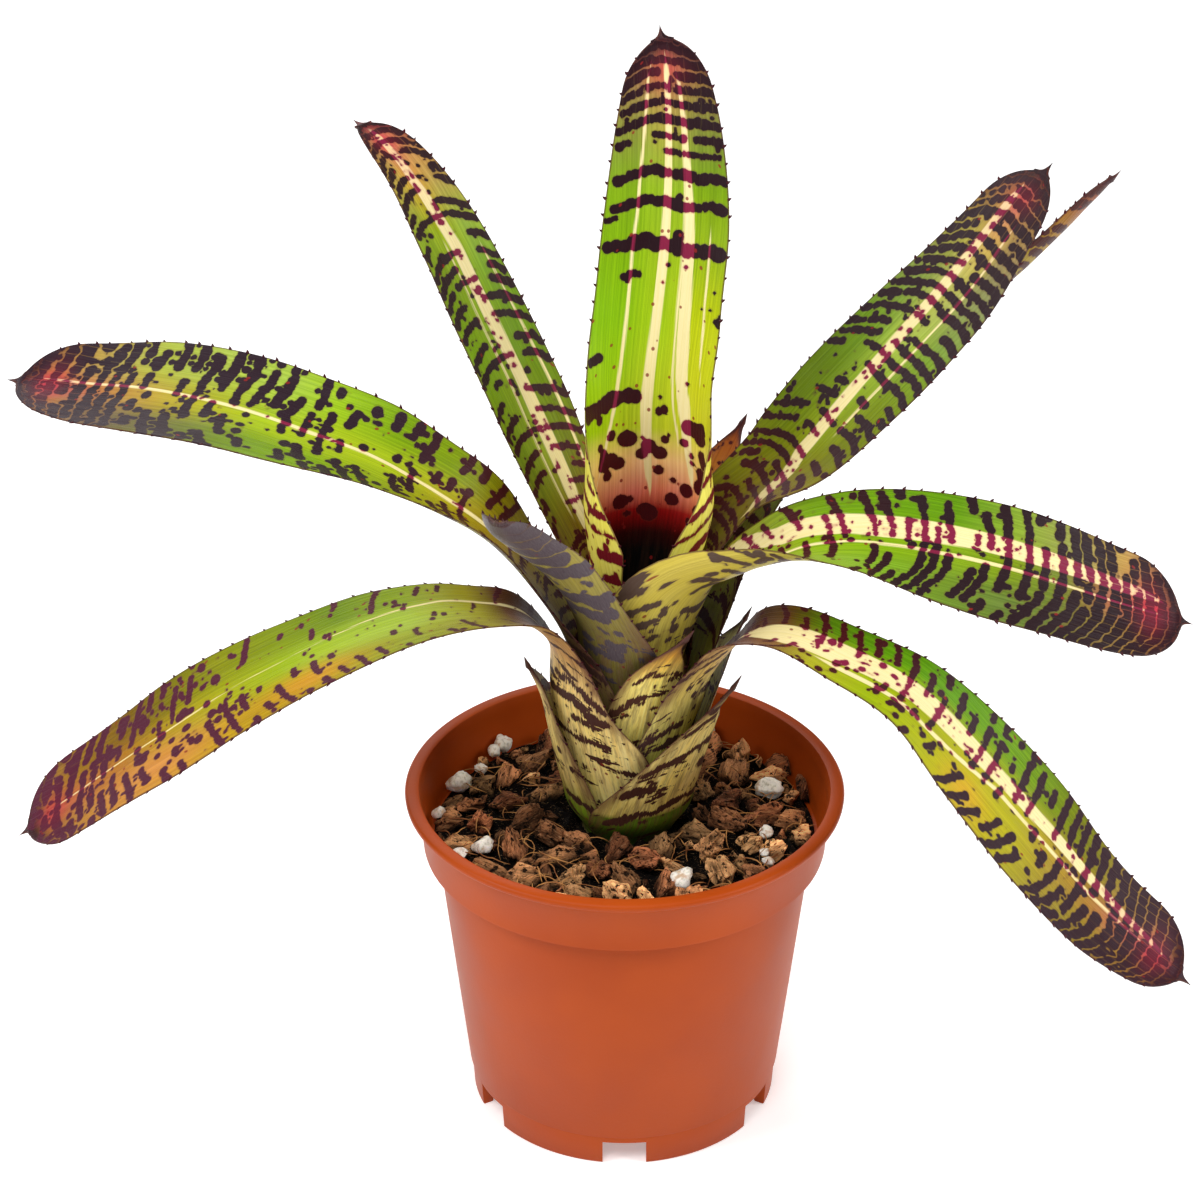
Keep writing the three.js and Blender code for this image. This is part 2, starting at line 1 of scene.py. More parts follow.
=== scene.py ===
# A banded neoregelia in a nursery pot: plastic pot, bark mix, and a funnel of toothed strap leaves.
import json
import math
import bmesh
import bpy
import numpy as np
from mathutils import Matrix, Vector

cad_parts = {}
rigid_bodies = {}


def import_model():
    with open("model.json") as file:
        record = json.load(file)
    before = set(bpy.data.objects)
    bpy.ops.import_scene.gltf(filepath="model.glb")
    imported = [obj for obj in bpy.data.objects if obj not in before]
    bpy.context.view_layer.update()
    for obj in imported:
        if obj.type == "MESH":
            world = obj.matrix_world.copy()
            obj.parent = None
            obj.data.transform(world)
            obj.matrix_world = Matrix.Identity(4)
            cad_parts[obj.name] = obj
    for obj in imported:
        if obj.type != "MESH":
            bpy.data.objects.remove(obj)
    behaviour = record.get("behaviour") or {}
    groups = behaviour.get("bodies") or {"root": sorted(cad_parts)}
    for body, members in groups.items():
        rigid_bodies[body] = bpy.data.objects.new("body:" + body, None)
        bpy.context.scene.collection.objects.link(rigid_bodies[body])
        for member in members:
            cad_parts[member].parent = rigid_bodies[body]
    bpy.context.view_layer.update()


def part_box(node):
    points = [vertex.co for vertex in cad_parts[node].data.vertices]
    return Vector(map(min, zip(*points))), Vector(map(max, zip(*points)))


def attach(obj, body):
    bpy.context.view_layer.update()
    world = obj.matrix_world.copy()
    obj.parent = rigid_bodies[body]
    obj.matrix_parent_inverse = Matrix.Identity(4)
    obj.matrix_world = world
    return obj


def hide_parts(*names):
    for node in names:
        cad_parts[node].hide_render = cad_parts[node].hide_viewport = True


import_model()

# ---------------------------------------------------------------- pot
# A 14 cm nursery pot, injection moulded in one piece from terracotta-coloured polypropylene: a rolled lip,
# a collar, a tapering wall and a foot ring with six notches. Lengths are in millimetres up to the mesh.
low, high = (np.array(corner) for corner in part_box("pot"))
pot_x, pot_y = (low[:2] + high[:2]) / 2 * 1000


def colour(r, g, b):
    """A display colour, 0 to 255, as linear light."""
    return [c / 3294.6 if c < 10.3 else ((c / 255 + 0.055) / 1.055) ** 2.4 for c in (r, g, b)]


def paint(r, g, b):
    """The same for a shader's colour socket, which takes a fourth value."""
    return colour(r, g, b) + [1]


def skin(name, **sockets):
    """A material with its shader's own sockets set, and a function that adds nodes to it."""
    made = bpy.data.materials.new(name)
    made.use_nodes = True
    tree = made.node_tree
    shader = tree.nodes["Principled BSDF"]
    for key, value in sockets.items():
        shader.inputs[key.replace("_", " ")].default_value = value

    def add(kind, inputs=None, **properties):
        node = shader if kind == "shader" else tree.nodes.new("ShaderNode" + kind)
        for key, value in properties.items():
            setattr(node, key, value)
        for key, value in (inputs or {}).items():
            socket = node.inputs[key]
            if isinstance(value, bpy.types.NodeSocket):
                tree.links.new(value, socket)
            else:
                socket.default_value = value
        return node.outputs[0]

    return made, add


def blend_colours(add, factor, a, b, mode="MIX"):
    node = add("Mix", {0: factor, 6: a, 7: b}, data_type="RGBA", blend_type=mode).node
    return node.outputs[2]


def between(add, value, low_in, high_in, low_out=0.0, high_out=1.0):
    """A value eased from one range to another, and held at its ends."""
    ends = {0: value, 1: low_in, 2: high_in, 3: low_out, 4: high_out}
    return add("MapRange", ends, interpolation_type="SMOOTHSTEP")


def piece(name, points, faces, material, slot, replaced=None, **attributes):
    """A mesh from millimetre points, riding on the plant's one body."""
    mesh = bpy.data.meshes.new(name)
    mesh.from_pydata((np.asarray(points) / 1000).tolist(), [], faces)
    mesh.shade_smooth()
    for key, values in attributes.items():
        size = 1 if values.ndim == 1 else values.shape[1]
        kind, field = {1: ("FLOAT", "value"), 3: ("FLOAT_VECTOR", "vector"), 4: ("FLOAT_COLOR", "color")}[size]
        mesh.attributes.new(key, kind, "POINT").data.foreach_set(field, values.astype(np.float32).ravel())
    made = bpy.data.objects.new(name, mesh)
    bpy.context.scene.collection.objects.link(made)
    mesh.materials.append(material)
    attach(made, "root")
    if replaced:
        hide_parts(replaced)
    return made


def lathe(profile, sides, x, y, wobble=None):
    """Points and faces of a profile of [radius, height] turned about a vertical axis."""
    turn = np.arange(sides) * 2 * math.pi / sides
    points, rings, faces = [], [], []
    for row, (r, z) in enumerate(profile):
        if r == 0:
            rings.append([len(points)] * sides)
            points.append([x, y, z])
            continue
        rings.append(list(range(len(points), len(points) + sides)))
        ring = np.stack([x + r * np.cos(turn), y + r * np.sin(turn), np.full(sides, float(z))], 1)
        points.extend(ring if wobble is None else wobble(ring, row))
    for a, b in zip(rings, rings[1:]):
        for i in range(sides):
            j = (i + 1) % sides
            face = [a[i], a[j], b[j], b[i]]
            face = [p for k, p in enumerate(face) if p not in face[:k]]
            if len(face) > 2:
                faces.append(face)
    return points, faces


def applied(made):
    """The piece's mesh with its modifiers made real."""
    bpy.context.view_layer.update()
    mesh = bpy.data.meshes.new_from_object(made.evaluated_get(bpy.context.evaluated_depsgraph_get()))
    made.modifiers.clear()
    made.data = mesh
    return mesh


plastic, add = skin("pot_plastic", Roughness=0.38, Specular_IOR_Level=0.12)
place = add("NewGeometry")
grain = add("TexNoise", {"Vector": place, "Scale": 900.0, "Detail": 3.0})
cloud = add("TexNoise", {"Vector": place, "Scale": 28.0, "Detail": 3.0})
tint = blend_colours(add, between(add, cloud, 0.3, 0.7), paint(160, 62, 11), paint(168, 68, 14))
dust = add("TexNoise", {"Vector": place, "Scale": 260.0, "Detail": 5.0, "Roughness": 0.7})
tint = blend_colours(add, between(add, dust, 0.62, 0.82, 0, 0.12), tint, paint(196, 104, 60))
bump = add("Bump", {"Strength": 0.12, "Distance": 0.0002, "Height": grain})
add("shader", {"Base Color": tint, "Normal": bump, "Roughness": between(add, cloud, 0.2, 0.8, 0.38, 0.47)})

OUTLINE = [
    [0, 9.2], [44.6, 9.2], [46, 8.4], [46.2, 0.5], [46.5, 0], [49.4, 0], [49.8, 0.4], [50.4, 10.4], [50.55, 10.9],
    [51.1, 11.4], [60.1, 92.3], [60.4, 92.5], [63.6, 92.6], [64.3, 93], [64.5, 93.8], [65.8, 109.4], [66.2, 109.8],
    [68.4, 110], [69.3, 110.4], [69.9, 111.2], [70, 112], [69.7, 112.6], [69.1, 113], [66.2, 113], [65.6, 112.8],
    [65.3, 112.2], [64.6, 109], [63.3, 96.1], [62.2, 94.7], [58.4, 94.1], [49.4, 12.5], [48.4, 11], [0, 11],
]
POT_SIDES = 176
NOTCHES, FIRST_NOTCH = 6, 30  # their number, and the first one's bearing in degrees
NOTCH_AT, NOTCH_DEEP, NOTCH_WIDE, NOTCH_TALL = 48, 12, 14, 17.2  # a block half sunk under the foot ring
EDGE_ROUND, EDGE_STEPS, EDGE_FROM, CREASE_FROM = 0.0003, 2, 50, 42  # metres, steps, and degrees
points, faces = lathe(OUTLINE, POT_SIDES, pot_x, pot_y)
pot = piece("nursery_pot", points, faces, plastic, "pot", "pot")
cuts = bmesh.new()
for i in range(NOTCHES):
    az = math.radians(360 / NOTCHES * i + FIRST_NOTCH)
    for v in bmesh.ops.create_cube(cuts, size=1)["verts"]:
        x, y = NOTCH_AT + v.co.x * NOTCH_DEEP, v.co.y * NOTCH_WIDE
        v.co = (
            (pot_x + x * math.cos(az) - y * math.sin(az)) / 1000,
            (pot_y + x * math.sin(az) + y * math.cos(az)) / 1000,
            v.co.z * NOTCH_TALL / 1000,
        )
cutter_mesh = bpy.data.meshes.new("notch_cutter")
cuts.to_mesh(cutter_mesh)
cutter = bpy.data.objects.new("notch_cutter", cutter_mesh)
bpy.context.scene.collection.objects.link(cutter)
cut = pot.modifiers.new("notches", "BOOLEAN")
cut.object = cutter
cut.solver = "EXACT"
soft = pot.modifiers.new("edges", "BEVEL")
soft.width, soft.segments, soft.angle_limit = EDGE_ROUND, EDGE_STEPS, math.radians(EDGE_FROM)
applied(pot).set_sharp_from_angle(angle=math.radians(CREASE_FROM))
bpy.data.objects.remove(cutter)

# ---------------------------------------------------------------- bark mix
# An open orchid-style mix: broken, fibrous fir bark from crumbs to 17 mm chunks over a bed of fines painted near
# black, partly their own dark brown and partly painted shade in the gaps, poured in to 13 mm under the rim and pressed
# round the foot of the plant.
FOOT = (0.8, 7)  # the middle of the plant's foot, from the pot's axis
foot_x, foot_y = pot_x + FOOT[0], pot_y + FOOT[1]
BED_REACH, FOOT_REACH = 62, 20.8  # radius of the bed and of the plant's foot
BED_TOP, BED_SIDES, BED_SEED, BED_HEAVE = 96.2, 150, 40, 1.8


def hum(x, seed, wave):
    """A smooth random curve from -1 to 1 along x."""
    k = np.asarray(x, float) / wave
    i = np.floor(k)
    f = k - i
    f = f * f * (3 - 2 * f)

    def value(n):
        h = np.sin(n * 127.1 + seed * 311.7) * 43758.5453
        return 2 * (h - np.floor(h)) - 1

    return value(i) * (1 - f) + value(i + 1) * f


def lumpy(p, dice, wave, octaves=3):
    """A cheap random field over points, about -1 to 1."""
    total = np.zeros(len(p))
    for o in range(octaves):
        for _ in range(4):
            way = dice.normal(size=3)
            way *= 2 * math.pi / np.linalg.norm(way) / wave * 2**o
            total += np.sin(p @ way + dice.uniform(0, 6.28)) * 0.35 / 1.6**o
    return total


bark, add = skin("bark", Roughness=0.8, Specular_IOR_Level=0.12)
grain_at = add("Attribute", attribute_name="grain").node.outputs["Vector"]
tone = add("Attribute", attribute_name="tone")
fibre = add("VectorMath", {0: grain_at, 1: (0.35, 2.2, 2.2)}, operation="MULTIPLY")
strands = add("TexNoise", {"Vector": fibre, "Scale": 1.0, "Detail": 6.0, "Roughness": 0.65, "Distortion": 0.6})
crack = add("TexNoise", {"Vector": grain_at, "Scale": 0.45, "Detail": 4.0, "Roughness": 0.6})
shade = blend_colours(add, between(add, strands, 0.34, 0.5), paint(20, 8, 4), tone)
glint = blend_colours(add, 1.0, tone, paint(255, 236, 216), "SOFT_LIGHT")
glint = blend_colours(add, 0.6, glint, paint(250, 204, 154))
shade = blend_colours(add, between(add, strands, 0.57, 0.68, 0, 0.8), shade, glint)
# the cracks are painted near black, partly the bark's own dark and partly painted shade in them
shade = blend_colours(add, between(add, crack, 0.45, 0.38, 0, 0.95), shade, paint(8, 3, 1))
rough = add("Math", {0: strands, 1: crack}, operation="ADD")
bump = add("Bump", {"Strength": 1.0, "Distance": 0.0022, "Height": rough})
add("shader", {"Base Color": shade, "Normal": bump})

bed = [[0, 84], [56, 84], [57.6, 93], [61, 95.4]]
bed += [[r, BED_TOP] for r in np.arange(60, 15, -1.4)] + [[14.9, 86], [0, 86]]


def crumbs(ring, row):
    """Heaves the rings of the bed's top, and leaves its sides and underside plain."""
    if 3 < row < len(bed) - 2:
        ring[:, 2] += BED_HEAVE * lumpy(ring, np.random.default_rng(BED_SEED), 9, 4)
    return ring


points, faces = lathe(bed, BED_SIDES, pot_x, pot_y, crumbs)
points = np.array(points)
inner = np.hypot(points[:, 0] - pot_x, points[:, 1] - pot_y) < 17
points[inner, :2] += [foot_x - pot_x, foot_y - pot_y]
# the bed's near-black colour is partly the fines' own dark brown and partly painted shade in the gaps between chunks
fines_and_gap_shade = np.tile(paint(10, 4, 2), (len(points), 1))
piece("bark_bed", points, faces, bark, "bark", "bark_mix", grain=points.copy(), tone=fines_and_gap_shade)


def ball_of(level):
    """Points and faces of a ball of radius 1."""
    ball = bmesh.new()
    bmesh.ops.create_icosphere(ball, subdivisions=level, radius=1)
    points = np.array([v.co for v in ball.verts])
    faces = np.array([[v.index for v in f.verts] for f in ball.faces])
    ball.free()
    return points, faces


COARSE, FINE = ball_of(3), ball_of(4)


def turn_of(dice, tilt):
    """A random turn: any yaw, and up to tilt about the two level axes."""
    yaw, a, b = dice.uniform(0, 2 * math.pi), dice.uniform(-tilt, tilt), dice.uniform(-tilt, tilt)
    cz, sz, ca, sa, cb, sb = math.cos(yaw), math.sin(yaw), math.cos(a), math.sin(a), math.cos(b), math.sin(b)
    about_z = np.array([[cz, -sz, 0], [sz, cz, 0], [0, 0, 1]])
    about_x = np.array([[1, 0, 0], [0, ca, -sa], [0, sa, ca]])
    about_y = np.array([[cb, 0, sb], [0, 1, 0], [-sb, 0, cb]])
    return about_z @ about_x @ about_y


def chunk(dice, ball, size, flat, roughness, planes):
    """A broken lump, a ball cut by random planes and frayed along its grain, and how proud each point stands."""
    p = ball[0].copy()
    for _ in range(planes):
        n = dice.normal(size=3)
        n /= np.linalg.norm(n)
        over = p @ n - dice.uniform(0.42, 0.78)
        p -= np.outer(np.maximum(over, 0), n)
    ridge = 0.5 - np.abs(lumpy(p * [0.4, 2.2, 2.2], dice, 1.5, 2))
    lumps, fibres = lumpy(p * [0.6, 1.6, 1.6], dice, 1.6), lumpy(p * [0.5, 3, 3], dice, 1.3, 2)
    grow = 1 + roughness * (lumps + 0.45 * fibres + 0.9 * ridge)
    proudness = np.clip((grow - grow.mean()) / grow.std() * 0.35 + 0.5, 0, 1)
    return p * grow[:, None] * [size, size * dice.uniform(0.62, 0.9), size * flat], proudness


def clear_of(others, x, y, size, share):
    """Whether a lump at x, y leans on the others no more than a share of their sizes allows."""
    return all(math.hypot(x - a, y - b) > (size + c) * share for a, b, c in others)


# the chunks that show, and the perlite among them: x, y from the pot's axis, and half size
BIG = [
    (23, -6, 8), (55, 2, 7), (33, 10, 7), (37, 28, 7.5), (-55, -15, 6.5), (-38, 12, 8), (-22, -20, 7.5), (6, -26, 6),
    (-8, -29, 6.5), (30, -32, 6), (59, 19, 5.5), (53, 34, 6), (-50, 8, 5), (-30, 34, 7), (40, -14, 5), (48, -18, 5.5),
    (-33, -33, 6), (12, -38, 5.5), (-14, -45, 5.5), (30, 45, 6), (-10, 52, 6.5), (12, 50, 6),
]
WHITE = [
    (-54, 21, 4.3), (-45, -17, 4), (47, 16, 4.6), (18, -36, 4.4), (-43, 40, 2.9), (-40, 46, 3.6), (-47, 30, 2.2),
    (-52, -22, 2.8), (-60, 3, 2.4), (45, -9, 2.6), (45, -26, 2.2), (44, -20, 1.8), (-20, 52, 3.2), (28, 53, 3),
]
RED_BROWN, TAN = np.array(colour(164, 100, 66)), np.array(colour(244, 184, 124))
CHUNKS, LARGEST, SMALLEST, TRIES = 260, 7, 2.2, 30
LEAN_ON, KEEP_OFF = 0.76, 0.8  # how close chunks lie to each other and to the perlite, of the sum of their sizes
CHUNK_AT, BIG_FROM, CHUNK_PLANES = 98, 4.4, 10  # height they lie at, size that gets the fine ball, broken faces
rng = np.random.default_rng(7)
laid = list(BIG)
for size in np.linspace(LARGEST, SMALLEST, CHUNKS):
    for _ in range(TRIES):
        az, out = rng.uniform(0, 2 * math.pi), BED_REACH * math.sqrt(rng.uniform())
        x, y = out * math.cos(az), out * math.sin(az)
        if out > 61.5 - size * 0.8 or math.hypot(x - FOOT[0], y - FOOT[1]) < FOOT_REACH + size * 0.55:
            continue
        if clear_of(laid, x, y, size, LEAN_ON) and clear_of(WHITE, x, y, size, KEEP_OFF):
            laid.append((x, y, size))
            break
points, faces, grain_of, tones = [], [], [], []
laid_points = 0
for x, y, size in laid:
    ball = FINE if size > BIG_FROM else COARSE
    p, proudness = chunk(rng, ball, size * 1.04, rng.uniform(0.5, 0.85), 0.15, CHUNK_PLANES)
    grain_of.append(p + rng.uniform(-500, 500, 3))
    p = p @ turn_of(rng, 0.9).T
    p += [x, y, CHUNK_AT + 0.1 * size + rng.uniform(-1.6, 1.6)]
    p[:, :2] *= np.minimum(1, 62.4 / np.hypot(p[:, 0], p[:, 1]))[:, None]
    p += [pot_x, pot_y, 0]
    # painted shade and light: points low in the gaps between chunks darken to near black, and each chunk's proud
    # points are painted lighter, its grooves darker
    gap_shade_and_ridge_light = np.clip((p[:, 2] - 96) / 5, 0.02, 1)[:, None] ** 1.5 * (0.45 + 1.3 * proudness[:, None])
    faces.append(ball[1] + laid_points)
    laid_points += len(p)
    points.append(p)
    warm = rng.uniform() ** 1.4
    base = RED_BROWN * (1 - warm) + TAN * warm
    tones.append(np.hstack([base * rng.uniform(0.45, 2.0) * gap_shade_and_ridge_light, np.ones((len(p), 1))]))
grain_of, tones = np.vstack(grain_of), np.vstack(tones)
chunks = piece("bark_chunks", np.vstack(points), np.vstack(faces).tolist(), bark, "bark", grain=grain_of, tone=tones)
chunks.data.set_sharp_from_angle(angle=math.radians(38))

# ---------------------------------------------------------------- perlite
# Lumps of horticultural perlite, 4 to 9 mm: popped volcanic glass, chalk white and pitted, stained a little
# by the bark. They lie loose among the chunks.
perlite, add = skin("perlite", Roughness=0.9, Specular_IOR_Level=0.3, Subsurface_Weight=0.1)
grain_at = add("Attribute", attribute_name="grain").node.outputs["Vector"]
pits = add("TexNoise", {"Vector": grain_at, "Scale": 0.9, "Detail": 4.0, "Roughness": 0.6})
# the pits are painted darker: painted shade in the hollows of the white glass
shade = blend_colours(add, between(add, pits, 0.3, 0.55), paint(204, 192, 176), paint(252, 242, 230))
stain = add("TexNoise", {"Vector": grain_at, "Scale": 0.3, "Detail": 2.0})
shade = blend_colours(add, between(add, stain, 0.56, 0.7, 0, 0.7), shade, paint(190, 140, 92))
bump = add("Bump", {"Strength": 0.6, "Distance": 0.0006, "Height": pits})
add("shader", {"Base Color": shade, "Normal": bump})
PERLITE_AT, PERLITE_PLANES = 99.6, 3
points, faces, grain_of = [], [], []
for x, y, size in WHITE:
    p, _ = chunk(rng, COARSE, size, 0.85, 0.1, PERLITE_PLANES)
    grain_of.append(p + rng.uniform(-500, 500, 3))
    faces.append(COARSE[1] + len(p) * len(points))
    points.append(p @ turn_of(rng, 0.5).T + [pot_x + x, pot_y + y, PERLITE_AT + 0.25 * size])
piece("perlite", np.vstack(points), np.vstack(faces).tolist(), perlite, "bark", grain=np.vstack(grain_of))

# ---------------------------------------------------------------- coir fibres
# Loose coconut husk fibres, 5 to 17 mm long and up to half a millimetre thick, straw to brown. They lie
# over the chunks and arch between them.
FIBRES, FIBRE_STEPS, FIBRE_SIDES = 250, 8, 4


def strand(path, radius, sides, points, faces):
    """Adds a thin round strand along a path, tapering at both ends, to points and faces."""
    path = np.asarray(path)
    ahead = np.gradient(path, axis=0)
    ahead /= np.linalg.norm(ahead, axis=1)[:, None]
    side = np.cross(ahead, [0.3, 0.2, 1])
    side /= np.linalg.norm(side, axis=1)[:, None]
    up = np.cross(side, ahead)
    start, n = len(points), len(path)
    for k in range(n):
        r = radius * min(1, 0.25 + 3 * min(k, n - 1 - k) / n)
        for j in range(sides):
            a = 2 * math.pi * j / sides
            points.append(path[k] + r * (math.cos(a) * side[k] + math.sin(a) * up[k]))
    for k in range(n - 1):
        for j in range(sides):
            a, b = start + k * sides + j, start + k * sides + (j + 1) % sides
            faces.append([a, b, b + sides, a + sides])
    faces.append([start + j for j in range(sides)][::-1])
    faces.append([start + (n - 1) * sides + j for j in range(sides)])


coir, add = skin("coir", Roughness=0.7, Specular_IOR_Level=0.3)
patch = add("TexNoise", {"Vector": add("NewGeometry"), "Scale": 160.0, "Detail": 2.0})
straw = blend_colours(add, between(add, patch, 0.3, 0.7), paint(124, 72, 36), paint(206, 148, 84))
add("shader", {"Base Color": straw})
points, faces = [], []
for _ in range(FIBRES):
    az, out = rng.uniform(0, 2 * math.pi), 59 * math.sqrt(rng.uniform(0.04, 1))
    x, y = out * math.cos(az), out * math.sin(az)
    length, bend, way = rng.uniform(5, 17), rng.normal(0, 0.12), rng.uniform(0, 2 * math.pi)
    path, z = [], rng.uniform(98.5, 102)
    rise = rng.uniform(0.1, 0.5)
    for k in range(FIBRE_STEPS + 1):
        path.append([pot_x + x, pot_y + y, z + rise * length * 0.35 * math.sin(math.pi * k / FIBRE_STEPS)])
        way += bend * length / FIBRE_STEPS + rng.normal(0, 0.18)
        x, y = x + math.cos(way) * length / FIBRE_STEPS, y + math.sin(way) * length / FIBRE_STEPS
    path = np.array(path)
    reach = np.hypot(path[:, 0] - pot_x, path[:, 1] - pot_y).max()
    if reach < BED_REACH and np.hypot(path[:, 0] - foot_x, path[:, 1] - foot_y).min() > 22:
        strand(path, rng.uniform(0.1, 0.24), FIBRE_SIDES, points, faces)
piece("coir_fibres", points, faces, coir, "bark")

# ---------------------------------------------------------------- stem stub
# The short stub under the leaves, 29 mm across and hidden in the mix: woody, pale brown, ringed with the
# scars of older leaves. Its solid has the right shape and gets its bark here.
woody, add = skin("stem_bark", Roughness=0.85)
rings = add("TexWave", {"Vector": add("NewGeometry"), "Scale": 90.0, "Distortion": 3.0}, bands_direction="Z")
add("shader", {"Base Color": blend_colours(add, rings, paint(92, 74, 44), paint(146, 132, 84))})
stub = next(o for o in bpy.data.objects if o.name == "stem")
stub.data.materials.clear()
stub.data.materials.append(woody)

# ---------------------------------------------------------------- leaves
# Each leaf is one sheet, 0.5 to 0.9 mm thick: a sheath wrapped round its neighbours at the foot, opening into
# a strap blade with hooked teeth on both margins and a sharp point. Leathery and satin: green to olive above
# with cream stripes and dark purple cross bands, yellow-green with grey scurf below.
PLANT_AT = 7  # the middle of the rosette, in x and y from the pot's axis
FOOT_SHIFT = 6.2  # how far the column leans back to the left at its foot
MUCRO, TIP_ROUND = 4.5, 16  # length of the sharp point, and of the blade's end that narrows to it
MOST_WRAP = 2.75  # the most, in radians, that half a sheath wraps round the column
COVERED = 50  # the first stretch of the inner sheaths, which the outer ones hide
SHEATH_THICK, BLADE_THICKER = 0.55, 0.3
STEP, HIDDEN_STEP, CELL = 1.1, 3.0, 0.7  # mesh pitch along a leaf, along its hidden stretch, and across
TOOTH_SIZE, TOOTH_GAP, TOOTH_SIDES = (0.66, 1.02), (4.6, 6.6), 5
TOOTH_LEVELS = ((0.62, -0.35, 0.0), (0.4, 0.45, 0.2), (0.2, 0.95, 0.55))  # girth, reach out, lean ahead
